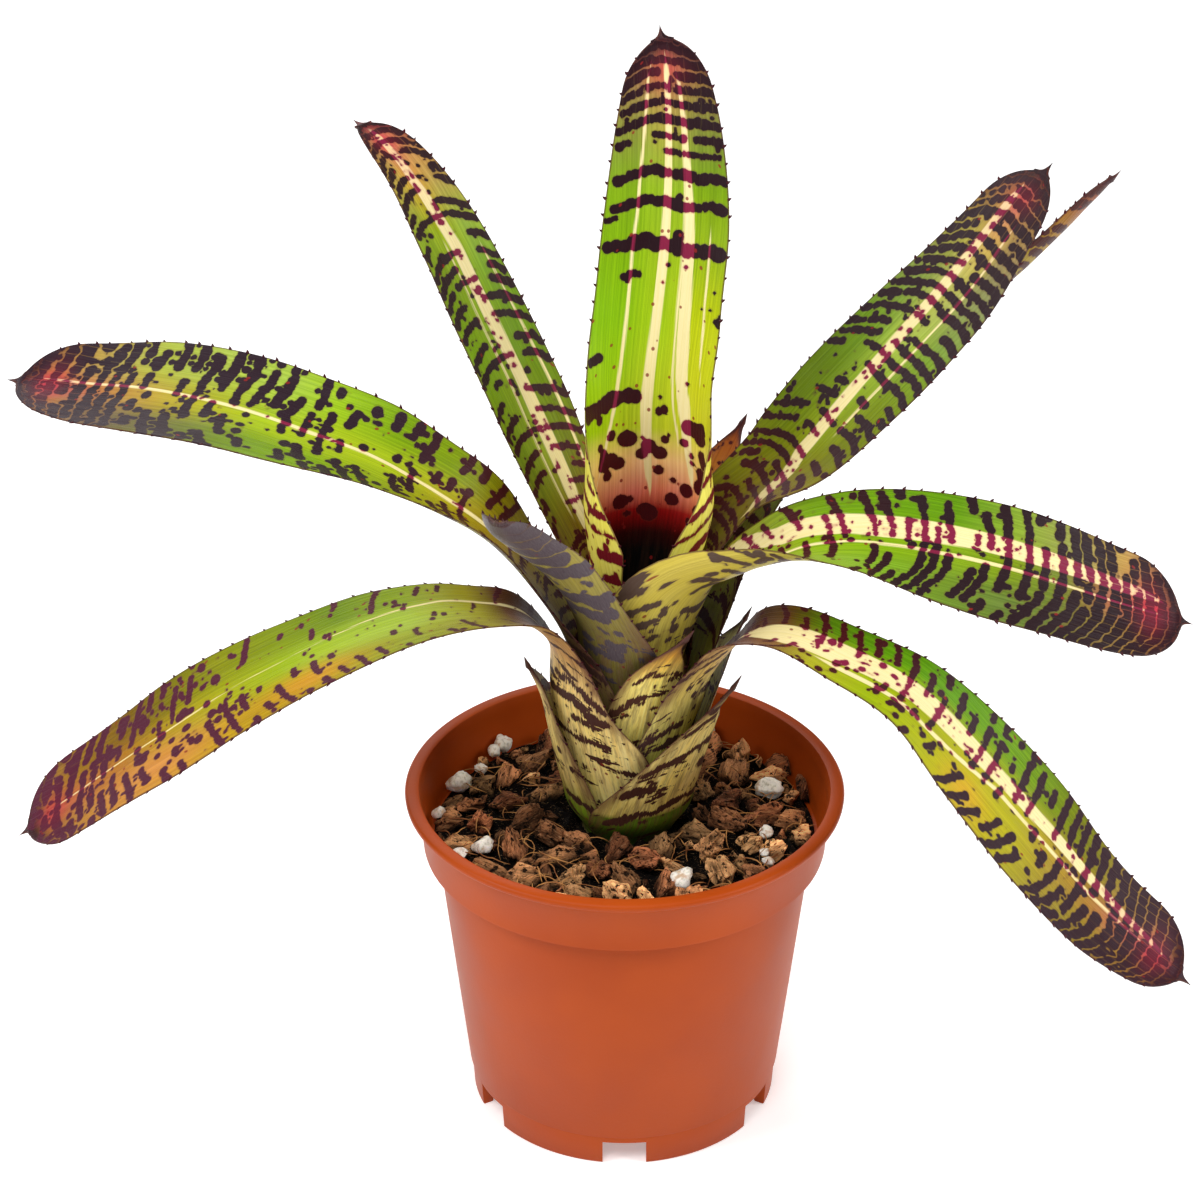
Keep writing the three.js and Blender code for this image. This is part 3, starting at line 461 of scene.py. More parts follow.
# name: (place in the rosette from the heart out, (row where the sheath lets go, row where the blade is free), rows)
# rows: [azimuth, radius or None to follow the rosette, height, half width, channel angle, roll, skew], or
# [azimuth, height, half width] for plain sheath
LEAVES = {
    "leaf_centre_back": (0, (4, 6), [
        [88, 94, 7], [88, 116, 14], [88, 144, 25], [88, None, 170, 37, 165, 0], [88, None, 188, 48, 168, 0],
        [88, 19.5, 204, 50, 150, 0], [88, 22, 219, 36, 110, 0], [87, 26, 236, 25, 70, 0], [84, 32, 258, 21, 34, 0],
        [82, 41, 284, 20, 22, 0], [83, 50, 309, 17, 20, 0], [85, 58, 329, 12.8, 24, 0], [87, 63, 341, 10.8, 30, 0],
    ]),
    "leaf_left_back": (1, (4, 6), [
        [140, 94, 9], [140, 116, 15], [140, 144, 22], [140, 170, 14], [137, 24, 186, 15.5, 50, 0],
        [136, 39, 204, 14.5, 36, 0], [134, 57, 226, 15.5, 28, 0], [134.5, 73, 248, 15.5, 25, 0],
        [135, 88, 269, 14, 24, 0], [135, 103, 285, 11.5, 26, 0], [135, 119, 295, 9, 34, 0],
        [135, 132, 299, 7.5, 40, 0],
    ]),
    "leaf_right_back": (2, (4, 6), [
        [42, 94, 10], [42, 116, 18], [42, 144, 21], [41, 168, 14.5], [39, 20, 188, 12.5, 50, 0],
        [33, 33, 202, 13.5, 36, 4], [26, 50, 215, 19, 18, 10], [25, 70, 233, 21, 10, 12], [25, 92, 251, 20.5, 8, 12],
        [25, 107, 264, 18.5, 8, 12], [25, 122, 280, 14.5, 14, 12], [25, 138, 298, 11, 26, 12],
    ]),
    "leaf_right": (3, (3, 5), [
        [330, 94, 12], [330, 116, 18], [330, None, 144, 22, 60, 0, -0.2], [330, None, 168, 22, 60, 0, -0.4],
        [333, 21.5, 186, 23, 60, -3, -0.5], [338, 27.5, 191, 20, 58, -4, -0.36],
        [346, 38, 195.5, 18.5, 56, -2, -0.15], [352, 52, 199, 17.5, 38, 10], [355, 72, 199.5, 19, 22, 22],
        [355, 96, 196, 21, 10, 28], [355, 120, 190, 21.5, 8, 28], [356, 146, 180, 20, 10, 26],
        [357, 169, 172, 16, 20, 24],
    ]),
    "leaf_front": (4, (4, 6), [
        [230, 94, 13], [230, 116, 20], [227, 140, 24], [224, 158, 22.5], [222, 23, 172, 20, 64, 0],
        [221, 31, 187, 17.5, 68, 0], [222, 43, 202, 15, 72, 0], [226, 57, 215, 12.5, 74, 0],
        [231, 69, 226, 10, 74, 0], [236, 80, 238, 6.5, 70, 0],
    ]),
    "leaf_far_right": (8, (4, 6), [
        [30, 94, 14], [30, 116, 22], [30, 144, 24], [31, 166, 19], [35, 33, 184, 10.5, 50, 0],
        [37, 50, 199, 8, 40, -10], [37, 76, 212, 8.5, 40, -24], [37, 104, 225, 9, 44, -34],
        [37, 132, 238, 10, 50, -40], [36, 163, 256.5, 9, 50, -42], [35, 189, 276, 5, 50, -44],
    ]),
    "leaf_left": (6, (4, 6), [
        [180, 94, 15], [180, 116, 24], [180, 144, 26], [180, 162, 22], [180, 34, 181, 18, 60, -4],
        [180, 48, 200, 19.5, 58, -8], [179, 64, 212, 18.5, 46, -12], [178, 84, 223, 22, 36, -12],
        [177, 107, 231, 23.5, 27, -12], [175, 130, 236, 24, 22, -12], [173, 154, 237, 23.5, 20, -12],
        [171, 178, 235, 20, 22, -12], [170, 203, 235, 14, 34, -12],
    ]),
    "leaf_short_front": (7, (3, 4), [
        [280, 94, 14], [280, 116, 17], [282, 142, 13.5], [287, 162, 9], [297, 30, 180, 3, 50, 0],
    ]),
    "leaf_short_back": (5, (3, 4), [
        [64, 94, 15], [64, 116, 21], [64, 144, 20], [63, 168, 12], [62, 40, 193, 7.5, 50, 0],
        [62, 56, 203, 5.5, 50, 0], [62, 70, 211, 3, 50, 0],
    ]),
    "leaf_right_front": (9, (4, 6), [
        [330, 94, 18], [330, 116, 23], [331, 136, 20], [329, 152, 17], [326, 28.5, 165, 15, 50, 4],
        [326, 36.5, 174.5, 14, 36, 2], [329, 50, 177.5, 13.5, 24, 2], [331, 66, 174, 14.5, 14, 4],
        [333, 89, 165, 17, 10, 6], [334, 108.5, 147, 21.5, 8, 8], [335, 129, 125, 24, 8, 8],
        [336, 149.5, 102, 22, 10, 6], [336.5, 169, 88, 18, 18, 6], [336.5, 181, 81, 14, 28, 6],
    ]),
    "leaf_left_front": (10, (4, 6), [
        [204, 94, 20], [204, 112, 31], [204, 130, 31], [204, 147, 23], [204, 31, 164, 16, 50, 0],
        [205, 40, 177, 15.5, 36, 2], [205, 52, 183, 17.5, 18, 6], [203, 68, 185.5, 18.5, 12, 4],
        [200, 88, 182, 20, 10, 0], [198, 110, 174, 21, 8, -3], [196, 133, 162, 22, 8, -7],
        [194, 156, 146, 22.5, 9, -9], [191, 180, 125, 20, 13, -10], [190, 199, 111, 13.5, 26, -10],
    ]),
    "leaf_short_right": (11, (3, 4), [
        [10, 94, 20], [10, 114, 22], [10, 134, 17], [9, 150, 11], [8, 33, 171, 4, 50, 0],
    ]),
    "sheath_left": (12, (3, 4), [
        [185, 94, 16], [185, 108, 21], [185, 125, 19], [187, 142, 12], [192, 39, 160, 3.5, 50, 0],
    ]),
    "sheath_right": (13, (3, 4), [
        [308, 94, 19], [308, 106, 27], [313, 122, 21], [320, 138, 13], [331, 33, 158, 4, 50, 0],
    ]),
}

leaf_skin, add = skin("leaf_skin", Roughness=0.34, Specular_IOR_Level=0.12)


def grown(name):
    """A value that every leaf's mesh carries per point."""
    return add("Attribute", attribute_name=name).node.outputs


def sums(add, *terms):
    total = terms[0]
    for term in terms[1:]:
        total = add("Math", {0: total, 1: term}, operation="ADD")
    return total


def times(add, a, b):
    return add("Math", {0: a, 1: b}, operation="MULTIPLY")


def larger(add, a, b):
    return add("Math", {0: a, 1: b}, operation="MAXIMUM")


def swing(add, noise, share):
    """Noise taken about its middle, times a share."""
    return times(add, add("Math", {0: noise, 1: 0.5}, operation="SUBTRACT"), share)


at = grown("at")["Vector"]
tone, ink = grown("tone")["Color"], grown("ink")["Color"]
even_bands, odd_bands, spots = add("SeparateXYZ", {0: grown("mark")["Vector"]}).node.outputs
stripe, margin, fray, silver, net, freckle = (
    grown(name)["Fac"] for name in ("stripe", "margin", "fray", "silver", "net", "freckle")
)


def stretched(add, along, across, detail, roughness=0.5):
    """Noise over the leaf with its own scale along and across."""
    place = add("VectorMath", {0: at, 1: (along, across, 1)}, operation="MULTIPLY")
    return add("TexNoise", {"Vector": place, "Scale": 1.0, "Detail": detail, "Roughness": roughness})


# the ground: veins, fine lines and yellow clouds over the leaf's own tone, then cream stripes
veins = stretched(add, 0.012, 1.5, 3.0, 0.6)
fine = stretched(add, 0.03, 4.0, 2.0)
cloud = stretched(add, 0.05, 0.14, 3.0)
grain = stretched(add, 0.9, 0.9, 2.0)
ragged = stretched(add, 0.16, 1.5, 2.0)
body = blend_colours(add, between(add, veins, 0.3, 0.7, 0.0, 0.5), tone, (1, 1, 1, 1), "SOFT_LIGHT")
body = blend_colours(add, between(add, fine, 0.35, 0.75, 0.0, 0.22), body, (0.02, 0.04, 0.0, 1), "SOFT_LIGHT")
body = blend_colours(add, between(add, cloud, 0.35, 0.7, 0.0, 0.3), body, paint(196, 188, 60), "SOFT_LIGHT")
pale = between(add, sums(add, stripe, swing(add, veins, 1.6)), -0.25, 0.3)
cream = blend_colours(add, between(add, veins, 0.4, 0.7, 0, 0.35), paint(230, 214, 158), paint(214, 196, 110))
cream = blend_colours(add, times(add, net, 0.55), cream, paint(222, 104, 112))
body = blend_colours(add, pale, body, cream)
# the brown of the sheaths: a dry wash in patches, a broad darker edge in patches, and the thin edge of every margin
stained = stretched(add, 0.06, 0.5, 4.0, 0.7)
wash = times(add, between(add, stained, 0.42, 0.66, 0, 0.62), between(add, fray, 1.2, 3.8))
body = blend_colours(add, wash, body, paint(112, 74, 50))
edge_patches = times(add, between(add, fray, 1.2, 3.4), between(add, cloud, 0.32, 0.56))
body = blend_colours(add, times(add, between(add, margin, 7, 0.4, 0, 0.75), edge_patches), body, paint(98, 58, 46))
body = blend_colours(add, between(add, margin, 0.6, 0.1, 0, 0.75), body, paint(80, 42, 34))
# the dark marks: even and odd bands with a thin seam where they meet, loose spots, and a brown halo round all
edges = sums(add, swing(add, grain, 0.45), swing(add, ragged, times(add, fray, 0.65)))
bands = larger(add, even_bands, odd_bands)
blotch = add("MapRange", {0: stretched(add, 0.25, 0.085, 3.0, 0.62), 1: 0.3, 2: 0.8, 3: -5.0, 4: 3.2})
blotch = sums(add, blotch, between(add, fray, 1.4, 3.4, -5, 0))
loose = larger(add, spots, blotch)
halo = between(add, sums(add, larger(add, bands, loose), edges), -0.5, 0.05, 0.0, 0.4)
apart = add("Math", {0: even_bands, 1: odd_bands}, operation="SUBTRACT")
apart = add("Math", {0: sums(add, apart, swing(add, cloud, 0.5))}, operation="ABSOLUTE")
whole = larger(add, between(add, apart, 0.2, 0.6), between(add, bands, 2.4, 3.2))
banded = times(add, between(add, sums(add, bands, edges), -0.07, 0.13), whole)
# near the tip fine lines along the leaf cut the bands into a net
aside = add("SeparateXYZ", {0: at}).node.outputs[1]
aside = add("Math", {0: sums(add, aside, times(add, cloud, 4.0)), 1: 2.0}, operation="PINGPONG")
lines = times(add, between(add, aside, 0.2, 0.05), times(add, net, -0.9))
banded = times(add, banded, sums(add, 1.0, lines))
core = larger(add, banded, between(add, sums(add, loose, edges), -0.07, 0.13))
warm = blend_colours(add, 0.5, ink, paint(120, 60, 40))
body = blend_colours(add, halo, body, blend_colours(add, pale, warm, paint(160, 40, 76)))
body = blend_colours(add, core, body, blend_colours(add, pale, ink, paint(122, 28, 58)))
# round red freckles, and grey scurf in fine streaks
dots = add("VectorMath", {0: at, 1: (0.27, 0.3, 1)}, operation="MULTIPLY")
cell = add("TexVoronoi", {"Vector": dots, "Scale": 1.0})
rare = add("SeparateColor", {"Color": cell.node.outputs["Color"]})
speck = times(add, between(add, cell, 0.2, 0.13), add("Math", {0: rare, 1: freckle}, operation="LESS_THAN"))
body = blend_colours(add, times(add, speck, 0.85), body, paint(126, 30, 28))
scurf = between(add, stretched(add, 0.35, 3.2, 3.0, 0.7), 0.35, 0.7, 0.15, 0.75)
body = blend_colours(add, times(add, silver, scurf), body, paint(168, 162, 158))
height = sums(add, times(add, veins, 0.9), times(add, fine, 0.35), times(add, core, 0.12))
bump = add("Bump", {"Strength": 0.55, "Distance": 0.0005, "Height": height})
gloss = sums(add, between(add, cloud, 0.3, 0.7, 0.3, 0.38), times(add, core, 0.04), times(add, silver, 0.15))
gloss = sums(add, gloss, times(add, net, -0.03), between(add, fray, 0.7, 2.6, 0, 0.16))
add("shader", {"Base Color": body, "Normal": bump, "Roughness": gloss})


def ease(x):
    x = np.clip(x, 0, 1)
    return x * x * (3 - 2 * x)


def ring(k, z):
    """The radius, at height z, of the sheath that stands k-th from the heart."""
    core = 1.3 + 11.3 * (np.maximum(0, z - 88) / 84) ** 1.6
    girth = 14.5 + 7 * ease((z - 93) / 15) + 0.24 * np.maximum(0, z - 108)
    return core + k / 13 * (girth - core)


def lean(z):
    return FOOT_SHIFT * (ease((z - 115) / 105) - 1)


def unit(a):
    return a / np.linalg.norm(a, axis=-1)[..., None]


def midrib(k, rows):
    """Close stations along a leaf: t, arc length, point, tangent side and up, half, channel, roll, skew, shift."""
    rows = [[row[0], None, *row[1:], 60, 0] if len(row) == 3 else row for row in rows]
    nested = sum(r[1] is None for r in rows) - 1
    knots = []
    for i, (az, r, z, half, channel, roll, *skew) in enumerate(rows):
        radius = ring(k, z) if r is None else r
        a = math.radians(az)
        turns = [math.radians(channel), math.radians(roll), skew[0] if skew else 0]
        knots.append([radius * math.cos(a), radius * math.sin(a), z, half, *turns, lean(z) if i <= nested else 0])
    q = np.array(knots)
    q = np.vstack([2 * q[0] - q[1], q, 2 * q[-1] - q[-2]])
    t = np.arange((len(rows) - 1) * 16 + 1) / 16
    i = np.minimum(t.astype(int), len(rows) - 2)
    f = (t - i)[:, None]
    a, b, c, d = q[i], q[i + 1], q[i + 2], q[i + 3]
    o = b + 0.5 * f * (c - a + f * (2 * a - 5 * b + 4 * c - d + f * (3 * (b - c) + d - a)))
    inside = t < nested
    grow = np.where(inside, ring(k, o[:, 2]) / np.hypot(o[:, 0], o[:, 1]), 1)
    o[:, :2] *= grow[:, None]
    o[:, 7] = np.where(inside, lean(o[:, 2]), o[:, 7])
    p = o[:, :3]
    ahead = unit(np.vstack([p[1] - p[0], p[2:] - p[:-2], p[-1] - p[-2]]))
    heading = 0.6 * unit(p * [1, 1, 0]) + ahead * [1, 1, 0]
    side = np.cross([0, 0, 1], heading)
    side = unit(side - ahead * np.sum(side * ahead, 1)[:, None])
    length = np.r_[0, np.cumsum(np.linalg.norm(np.diff(p, axis=0), axis=1))]
    return t, length, np.hstack([p, side, np.cross(ahead, side), o[:, 3:]])


def surface(leaf, s, v):
    """Points of the middle surface at lengths s along and v from -1 to 1 across, and the half width there."""
    t, length, table, free, tip = leaf
    r = np.stack([np.interp(s, length, table[:, c]) for c in range(table.shape[1])], -1)
    p, side, up = r[..., :3], unit(r[..., 3:6]), unit(r[..., 6:9])
    half, channel, roll, skew, shift = (r[..., c] for c in range(9, 14))
    end = length[-1]
    q = np.clip((s - (end - MUCRO - TIP_ROUND)) / TIP_ROUND, 0, 1)
    thorn = np.clip((end - s) / MUCRO * 1.15, 0.08, 1.15)
    if tip == "round":
        near, past = np.maximum(0, end - MUCRO - s) / 1.6, np.maximum(0, s - end + MUCRO) / 0.7
        thorn = thorn + 2.6 * np.exp(-(near + past))
        taper = np.maximum(0, 1 - q**2.2) ** 0.5
    else:
        taper = 1 - q**1.7
    half = ((half * taper) ** 3 + thorn**3) ** (1 / 3)
    across = v + skew
    away = np.hypot(p[..., 0], p[..., 1])
    phi = np.arctan2(p[..., 1], p[..., 0]) + across * np.minimum(half / away, MOST_WRAP)
    wrapped = np.stack([away * np.cos(phi), away * np.sin(phi), p[..., 2]], -1)
    cr, sr = np.cos(roll)[..., None], np.sin(roll)[..., None]
    lateral, normal = side * cr + up * sr, up * cr - side * sr
    angle = np.maximum(0.02, channel)
    bend = half / angle
    level, rise = (bend * np.sin(across * angle))[..., None], (bend * (1 - np.cos(across * angle)))[..., None]
    blade = p + lateral * level + normal * rise
    w = ease((np.interp(s, length, t) - free[0]) / (free[1] - free[0]))[..., None]
    made = wrapped * (1 - w) + blade * w
    made[..., 0] += shift
    return made, half, w[..., 0]


def along_keys(keys, place, column=1):
    """One column of rows [length along the leaf, value...] at a place; a short row's last value serves for all."""
    return np.interp(place, [row[0] for row in keys], [row[min(column, len(row) - 1)] for row in keys])


def keyed(keys, s, v):
    """Colours over the leaf from rows of [length, left colour, middle colour, right colour] or [length, colour]."""
    at = [row[0] for row in keys]
    sides = []
    for c in (1, 2, 3):
        lights = np.maximum(np.array([colour(*row[min(c, len(row) - 1)]) for row in keys]) - 0.012, 0.002)
        sides.append(np.stack([np.interp(s, at, lights[:, n]) for n in range(3)], -1))
    left, middle, right = sides
    f = ease(np.abs(v) / 0.65)[..., None]
    return middle * (1 - f) + np.where(v[..., None] < 0, left, right) * f


def banding(look, along, across, half, seed):
    """How far inside a dark mark each point lies, in mm: even bands, odd bands, loose spots. Bands are chains
    of round dots; where an even and an odd one meet, the leaf skin leaves a thin pale seam."""
    field = np.full((len(along), len(across), 3), -5.0)
    dice = np.random.default_rng(seed + 50)
    pitch = 0.1

    def dot(layer, place, aside, long, wide):
        """One dot, at a place along the leaf and so far aside; long and wide are its half sizes."""
        rows = slice(*np.searchsorted(along, [place - long - 2, place + long + 2]))
        if rows.start == rows.stop:
            return
        width = half[rows.start, 0]
        columns = slice(*np.searchsorted(across, [(aside - wide - 2) / width, (aside + wide + 2) / width]))
        d = np.hypot((along[rows, None] - place) / long, (across[None, columns] * half[rows, :1] - aside) / wide)
        field[rows, columns, layer] = np.maximum(field[rows, columns, layer], min(long, wide) * (1 - d))

    for n, row in enumerate(look["bands"]):
        # a row is a place, or (place, thickness) or (place, thickness, from, to) with its reach across
        place, thick, *reach = row if isinstance(row, tuple) else (row, None)
        thick = float(along_keys(look["thick"], place)) if thick is None else thick
        sweep = look.get("sweep", [(50, 8), (90, 6), (150, 8), (260, 8)])
        sweeps = [along_keys(sweep, place, k) for k in (1, 2)]
        covers = [along_keys(look["cover"], place, k) for k in (1, 2, 3)]
        wide = float(np.interp(place - max(sweeps), along, half[:, 0]))
        steps = np.arange(-wide, wide, pitch)
        key = seed * 97 + n * 13
        young = place < look.get("sheath", 90)
        loose = 1 if young and look.get("bow", 1) > 0.5 else 0
        bow = look.get("bow", 1.2) * hum(steps + 0.03 * place, seed + 0.4, 11) + 0.3 * hum(steps, key + 2, 5)
        bow = bow + loose * (1.4 * hum(steps, key + 3, 9) + 0.8 * hum(steps, key + 4, 2.6))
        fat = 1 + loose * 0.5 * hum(steps, key + 6, 5)
        there = 0.5 + 0.5 * hum(steps, key + 5, 13 if young else look.get("run", 6.5))
        there = there < np.interp(steps / wide, [-0.8, 0, 0.8], covers)
        if reach:
            there = (steps / wide > reach[0]) & (steps / wide < reach[1])
        pale_at = along_keys(look["stripes"][0], place) if "stripes" in look else 9
        aside = -wide + dice.uniform(0, 1)
        while aside < wide - 0.2:
            i = min(int((aside + wide) / pitch), len(steps) - 1)
            out = aside / wide
            thin = (0 if reach else 0.3) * math.exp(-(((out - pale_at) / 0.22) ** 2))
            size = thick / 2 * fat[i] * dice.uniform(0.8, 1.15) * (1 - thin)
            if there[i]:
                swept = sweeps[int(aside > 0)] * abs(out) ** 2.4
                centre = place - swept - look.get("slant", 0) * aside / wide + bow[i]
                broad = size * dice.uniform(0.8, 1.3) * (1.5 if young else 1)
                dot(n % 2, centre + dice.normal(0, 0.06) * thick, aside, size, broad)
                if dice.uniform() < look.get("double", 0.1):
                    beyond = centre + dice.choice([-1, 1]) * thick * 0.8
                    dot(n % 2, beyond, aside + dice.normal(0, 0.7), size * 0.7, size * 0.7)
            aside += size * dice.uniform(0.85, 1.35)
    for count, s0, s1, v0, v1, least, most in look.get("spots", []):
        for _ in range(count):
            place, size = dice.uniform(s0, s1), least + (most - least) * dice.uniform() ** 1.6
            wide = float(np.interp(place, along, half[:, 0]))
            dot(2, place, dice.uniform(v0, v1) * wide, size, size * dice.uniform(0.9, 1.4))
    return field


def striping(look, s, w, half):
    """How far inside a cream stripe each point lies, in mm, from rows of [length, place across, width]."""
    field = np.full(s.shape, -5.0)
    for line in look.get("stripes", []):
        first, last = line[0][0], line[-1][0]
        width = along_keys(line, s, 2)
        width = (width + 0.8) * ease((s - first + 8) / 16) * ease((last + 5 - s) / 12) - 0.8
        field = np.maximum(field, width / 2 - np.abs(w - along_keys(line, s) * half))
    return field


def hooks(leaf, start_at, seed, first):
    """Small hooked teeth along both margins: their points, and their faces numbered from first."""
    end = leaf[1][-1]
    sides = TOOTH_SIDES
    dice = np.random.default_rng(seed)
    points, faces = [], []
    place = start_at
    while place < end - MUCRO - 5:
        for margin_at in (-1, 1):
            s0 = place + dice.uniform(-1, 1)
            spots = np.array([s0, s0 + 0.5, s0]), np.array([1, 1, 0.9]) * margin_at
            (root, ahead, inner), _, _ = surface(leaf, *spots)
            out, ahead = unit(root - inner), unit(ahead - root)
            up = np.cross(out, ahead)
            size = dice.uniform(*TOOTH_SIZE) * min(1, (end - s0) / 25 + 0.4)
            start = first + len(points)
            for lift, reach, lean_on in TOOTH_LEVELS:
                for c in range(sides):
                    angle = 2 * math.pi * c / sides
                    around = lift * size * (math.cos(angle) * ahead * 1.3 + math.sin(angle) * up * 0.6)
                    points.append(root + out * reach * size + ahead * lean_on * size + around)
            points.append(root + out * 1.25 * size + ahead * 1.05 * size)
            for level in range(2):
                for c in range(sides):
                    i, j = start + level * sides + c, start + level * sides + (c + 1) % sides
                    faces.append([i, j, j + sides, i + sides])
            for c in range(sides):
                top = start + 2 * sides
                faces.append([top + c, top + (c + 1) % sides, top + sides])
        place += dice.uniform(*TOOTH_GAP)
    return points, faces


def toward(colours, shade, share):
    """Colours moved a share of the way to a shade."""
    return colours + (np.array(shade) - colours) * share[..., None]


ROSE, OCHRE, CRIMSON, DUSK, TOOTH, THROAT_INK, BLUSH_INK = (
    np.array(colour(*shade))
    for shade in (
        (206, 92, 98), (178, 140, 58), (176, 34, 62), (52, 28, 34), (58, 18, 26), (66, 14, 18), (116, 22, 44)
    )
)


def leaf_piece(name, look, number):
    """One leaf, from its place in the rosette and its look; its number seeds its noise."""
    k, free, rows = LEAVES[name]
    t, length, table = midrib(k, rows)
    leaf = t, length, table, free, look.get("tip", "round")
    end = length[-1]
    blade = np.interp(free[0], t, length)

    # the sheet: a fine grid of stations, closer at the tip and wide apart where the sheath is hidden
    hidden = COVERED if k < 9 else 0
    along = np.r_[
        np.arange(0, hidden, HIDDEN_STEP),
        np.arange(hidden, end - MUCRO - TIP_ROUND, STEP),
        end - MUCRO - TIP_ROUND * (1 - np.linspace(0, 1, 24) ** 0.6),
        end - MUCRO * np.array([0.88, 0.75, 0.6, 0.45, 0.3, 0.15, 0]),
    ]
    across = np.linspace(-1, 1, int(np.clip(2 * table[:, 9].max() / CELL, 20, 150)) + 1)
    s, v = np.meshgrid(along, across, indexing="ij")
    middle, half, free_share = surface(leaf, s, v)
    d = 0.4
    ds = surface(leaf, np.minimum(end, s + d), v)[0] - surface(leaf, np.maximum(0, s - d), v)[0]
    near = np.clip(v - 0.02, -1, 0.96)
    dv = surface(leaf, s, near + 0.04)[0] - surface(leaf, s, near)[0]
    normal = unit(np.cross(ds, dv))
    w = v * half
    out = np.abs(v)
    wave = 0.35 * hum(s + 3 * w, number + 0.3, 23) + 0.12 * hum(w, number + 0.7, 6) + 0.1 * hum(s - w, number + 0.9, 7)
    middle = middle + normal * (wave * free_share * (1 - 0.7 * out))[..., None]
    thick = (SHEATH_THICK + BLADE_THICKER * ease((s - blade) / 30)) * (1 - 0.55 * out**7) / 2
    spine = np.clip((end - s) / MUCRO, 0.04, 1) * np.exp(-np.maximum(0, end - MUCRO - s) / 2.2)
    thick = np.maximum(thick * np.clip((end - s) / MUCRO, 0.1, 1), 0.85 * spine * np.sqrt(np.maximum(0.02, 1 - v**2)))
    points = [(middle + sign * thick[..., None] * normal).reshape(-1, 3) for sign in (1, -1)]
    count = s.size
    index = np.arange(count).reshape(s.shape)
    a, b, c, e = index[:-1, :-1], index[:-1, 1:], index[1:, 1:], index[1:, :-1]
    faces = np.stack([a, e, c, b], -1).reshape(-1, 4).tolist()
    faces += (np.stack([a, b, c, e], -1).reshape(-1, 4) + count).tolist()
    border = np.r_[index[:, 0], index[-1, 1:], index[:-1, -1][::-1], index[0, 1:-1][::-1]]
    faces += [[x, x + count, y + count, y] for x, y in zip(border, np.roll(border, -1))]

    # the ground's colours: patches, the rosy net and blush before the tip, and its dark cap
    tone_up, tone_down = keyed(look["tone"], s, v), keyed(look["back"], s, v)
    for ps, pv, rs, rv, shade_of, share in look.get("patches", []):
        tone_up = toward(tone_up, colour(*shade_of), share * np.exp(-(((s - ps) / rs) ** 2) - ((v - pv) / rv) ** 2))
    nets = look.get("net", 0.8) * ease((s - end + 48) / 34)
    tone_up = toward(tone_up, ROSE + (OCHRE - ROSE) * ease(out / 0.5)[..., None], 0.7 * nets)
    blush = look.get("blush", 0.6) * np.exp(-(((s - end + 14) / 5.5) ** 2) - (v / 0.55) ** 2)
    tone_up = toward(tone_up, CRIMSON, blush)
    from_side = (1 - out) * half
    rim = 0.85 * ease((s - end + 26) / 14) * np.exp(-((from_side / 1.8) ** 2))
    dusk = np.maximum(0.96 * ease((s - end + 12.5 + 6 * out**2) / 8), rim * (look.get("net", 0.8) > 0))
    tone_up = toward(tone_up, colour(*look.get("cap", (44, 18, 28))), dusk)
    tone_down = toward(tone_down, DUSK, dusk)

    # the marks and their ink: red in the throat, the leaf's own on the blade, crimson in the blush
    mark = banding(look, along, across, half, number)
    mark_down = banding(look["under"], along, across, half, number + 40) if "under" in look else mark
    stripe = striping(look, s, w, half)
    grown_up = ease((s - 112) / 50)[..., None]
    ink_up = THROAT_INK * (1 - grown_up) + np.array(colour(*look["ink"])) * grown_up
    ink_up = toward(ink_up, BLUSH_INK, 0.75 * blush)
    ink_down = ink_up * 0 + np.array(colour(*look.get("ink_back", (66, 38, 28))))

    def both(up, down):
        return np.vstack([up.reshape(count, -1), down.reshape(count, -1)])

    from_margin = np.minimum(from_side, end - s)
    fray = 0.6 + look.get("fray", 3.4) * (1 - ease((s - blade + 8) / 40))
    freckles = along_keys(look.get("freckle", [(0, 0.12)]), s)
    curled = s + 7 * out**2.4
    scurf = np.full_like(s, look.get("silver_back", 0.08))
    data = {
        "at": both(*(np.stack([curled, w, np.full_like(s, number * 60.0 + page)], -1) for page in (0, 30))),
        "tone": both(tone_up, tone_down),
        "ink": both(ink_up, ink_down),
        "mark": both(mark, mark_down),
        "stripe": both(stripe, np.full_like(stripe, -5)).ravel(),
        "margin": both(from_margin, from_margin).ravel(),
        "fray": both(fray, fray).ravel(),
        "net": both(nets, nets).ravel(),
        "freckle": both(freckles, freckles).ravel(),
        "silver": both(scurf * 0, scurf).ravel(),
    }
    hook_points, hook_faces = hooks(leaf, max(blade - 22, 30), number + 300, 2 * count)
    plain = {"margin": 9, "mark": -5, "stripe": -5}
    for key, value in data.items():
        rest = np.repeat(value[:1] * 0 + plain.get(key, 0), len(hook_points), 0)
        data[key] = np.concatenate([value, rest])
    data["tone"][2 * count :] = TOOTH
    data["at"][2 * count :, 0] = np.arange(len(hook_points))
    for key in ("tone", "ink"):
        data[key] = np.hstack([data[key], np.ones((len(data[key]), 1))])
    everything = np.vstack(points + [np.array(hook_points)]) + [pot_x + PLANT_AT, pot_y + PLANT_AT, 0]
    slot = "dry_leaf" if name == "leaf_short_back" else "leaf"
    piece("grown_" + name, everything, faces + hook_faces, leaf_skin, slot, name, **data)


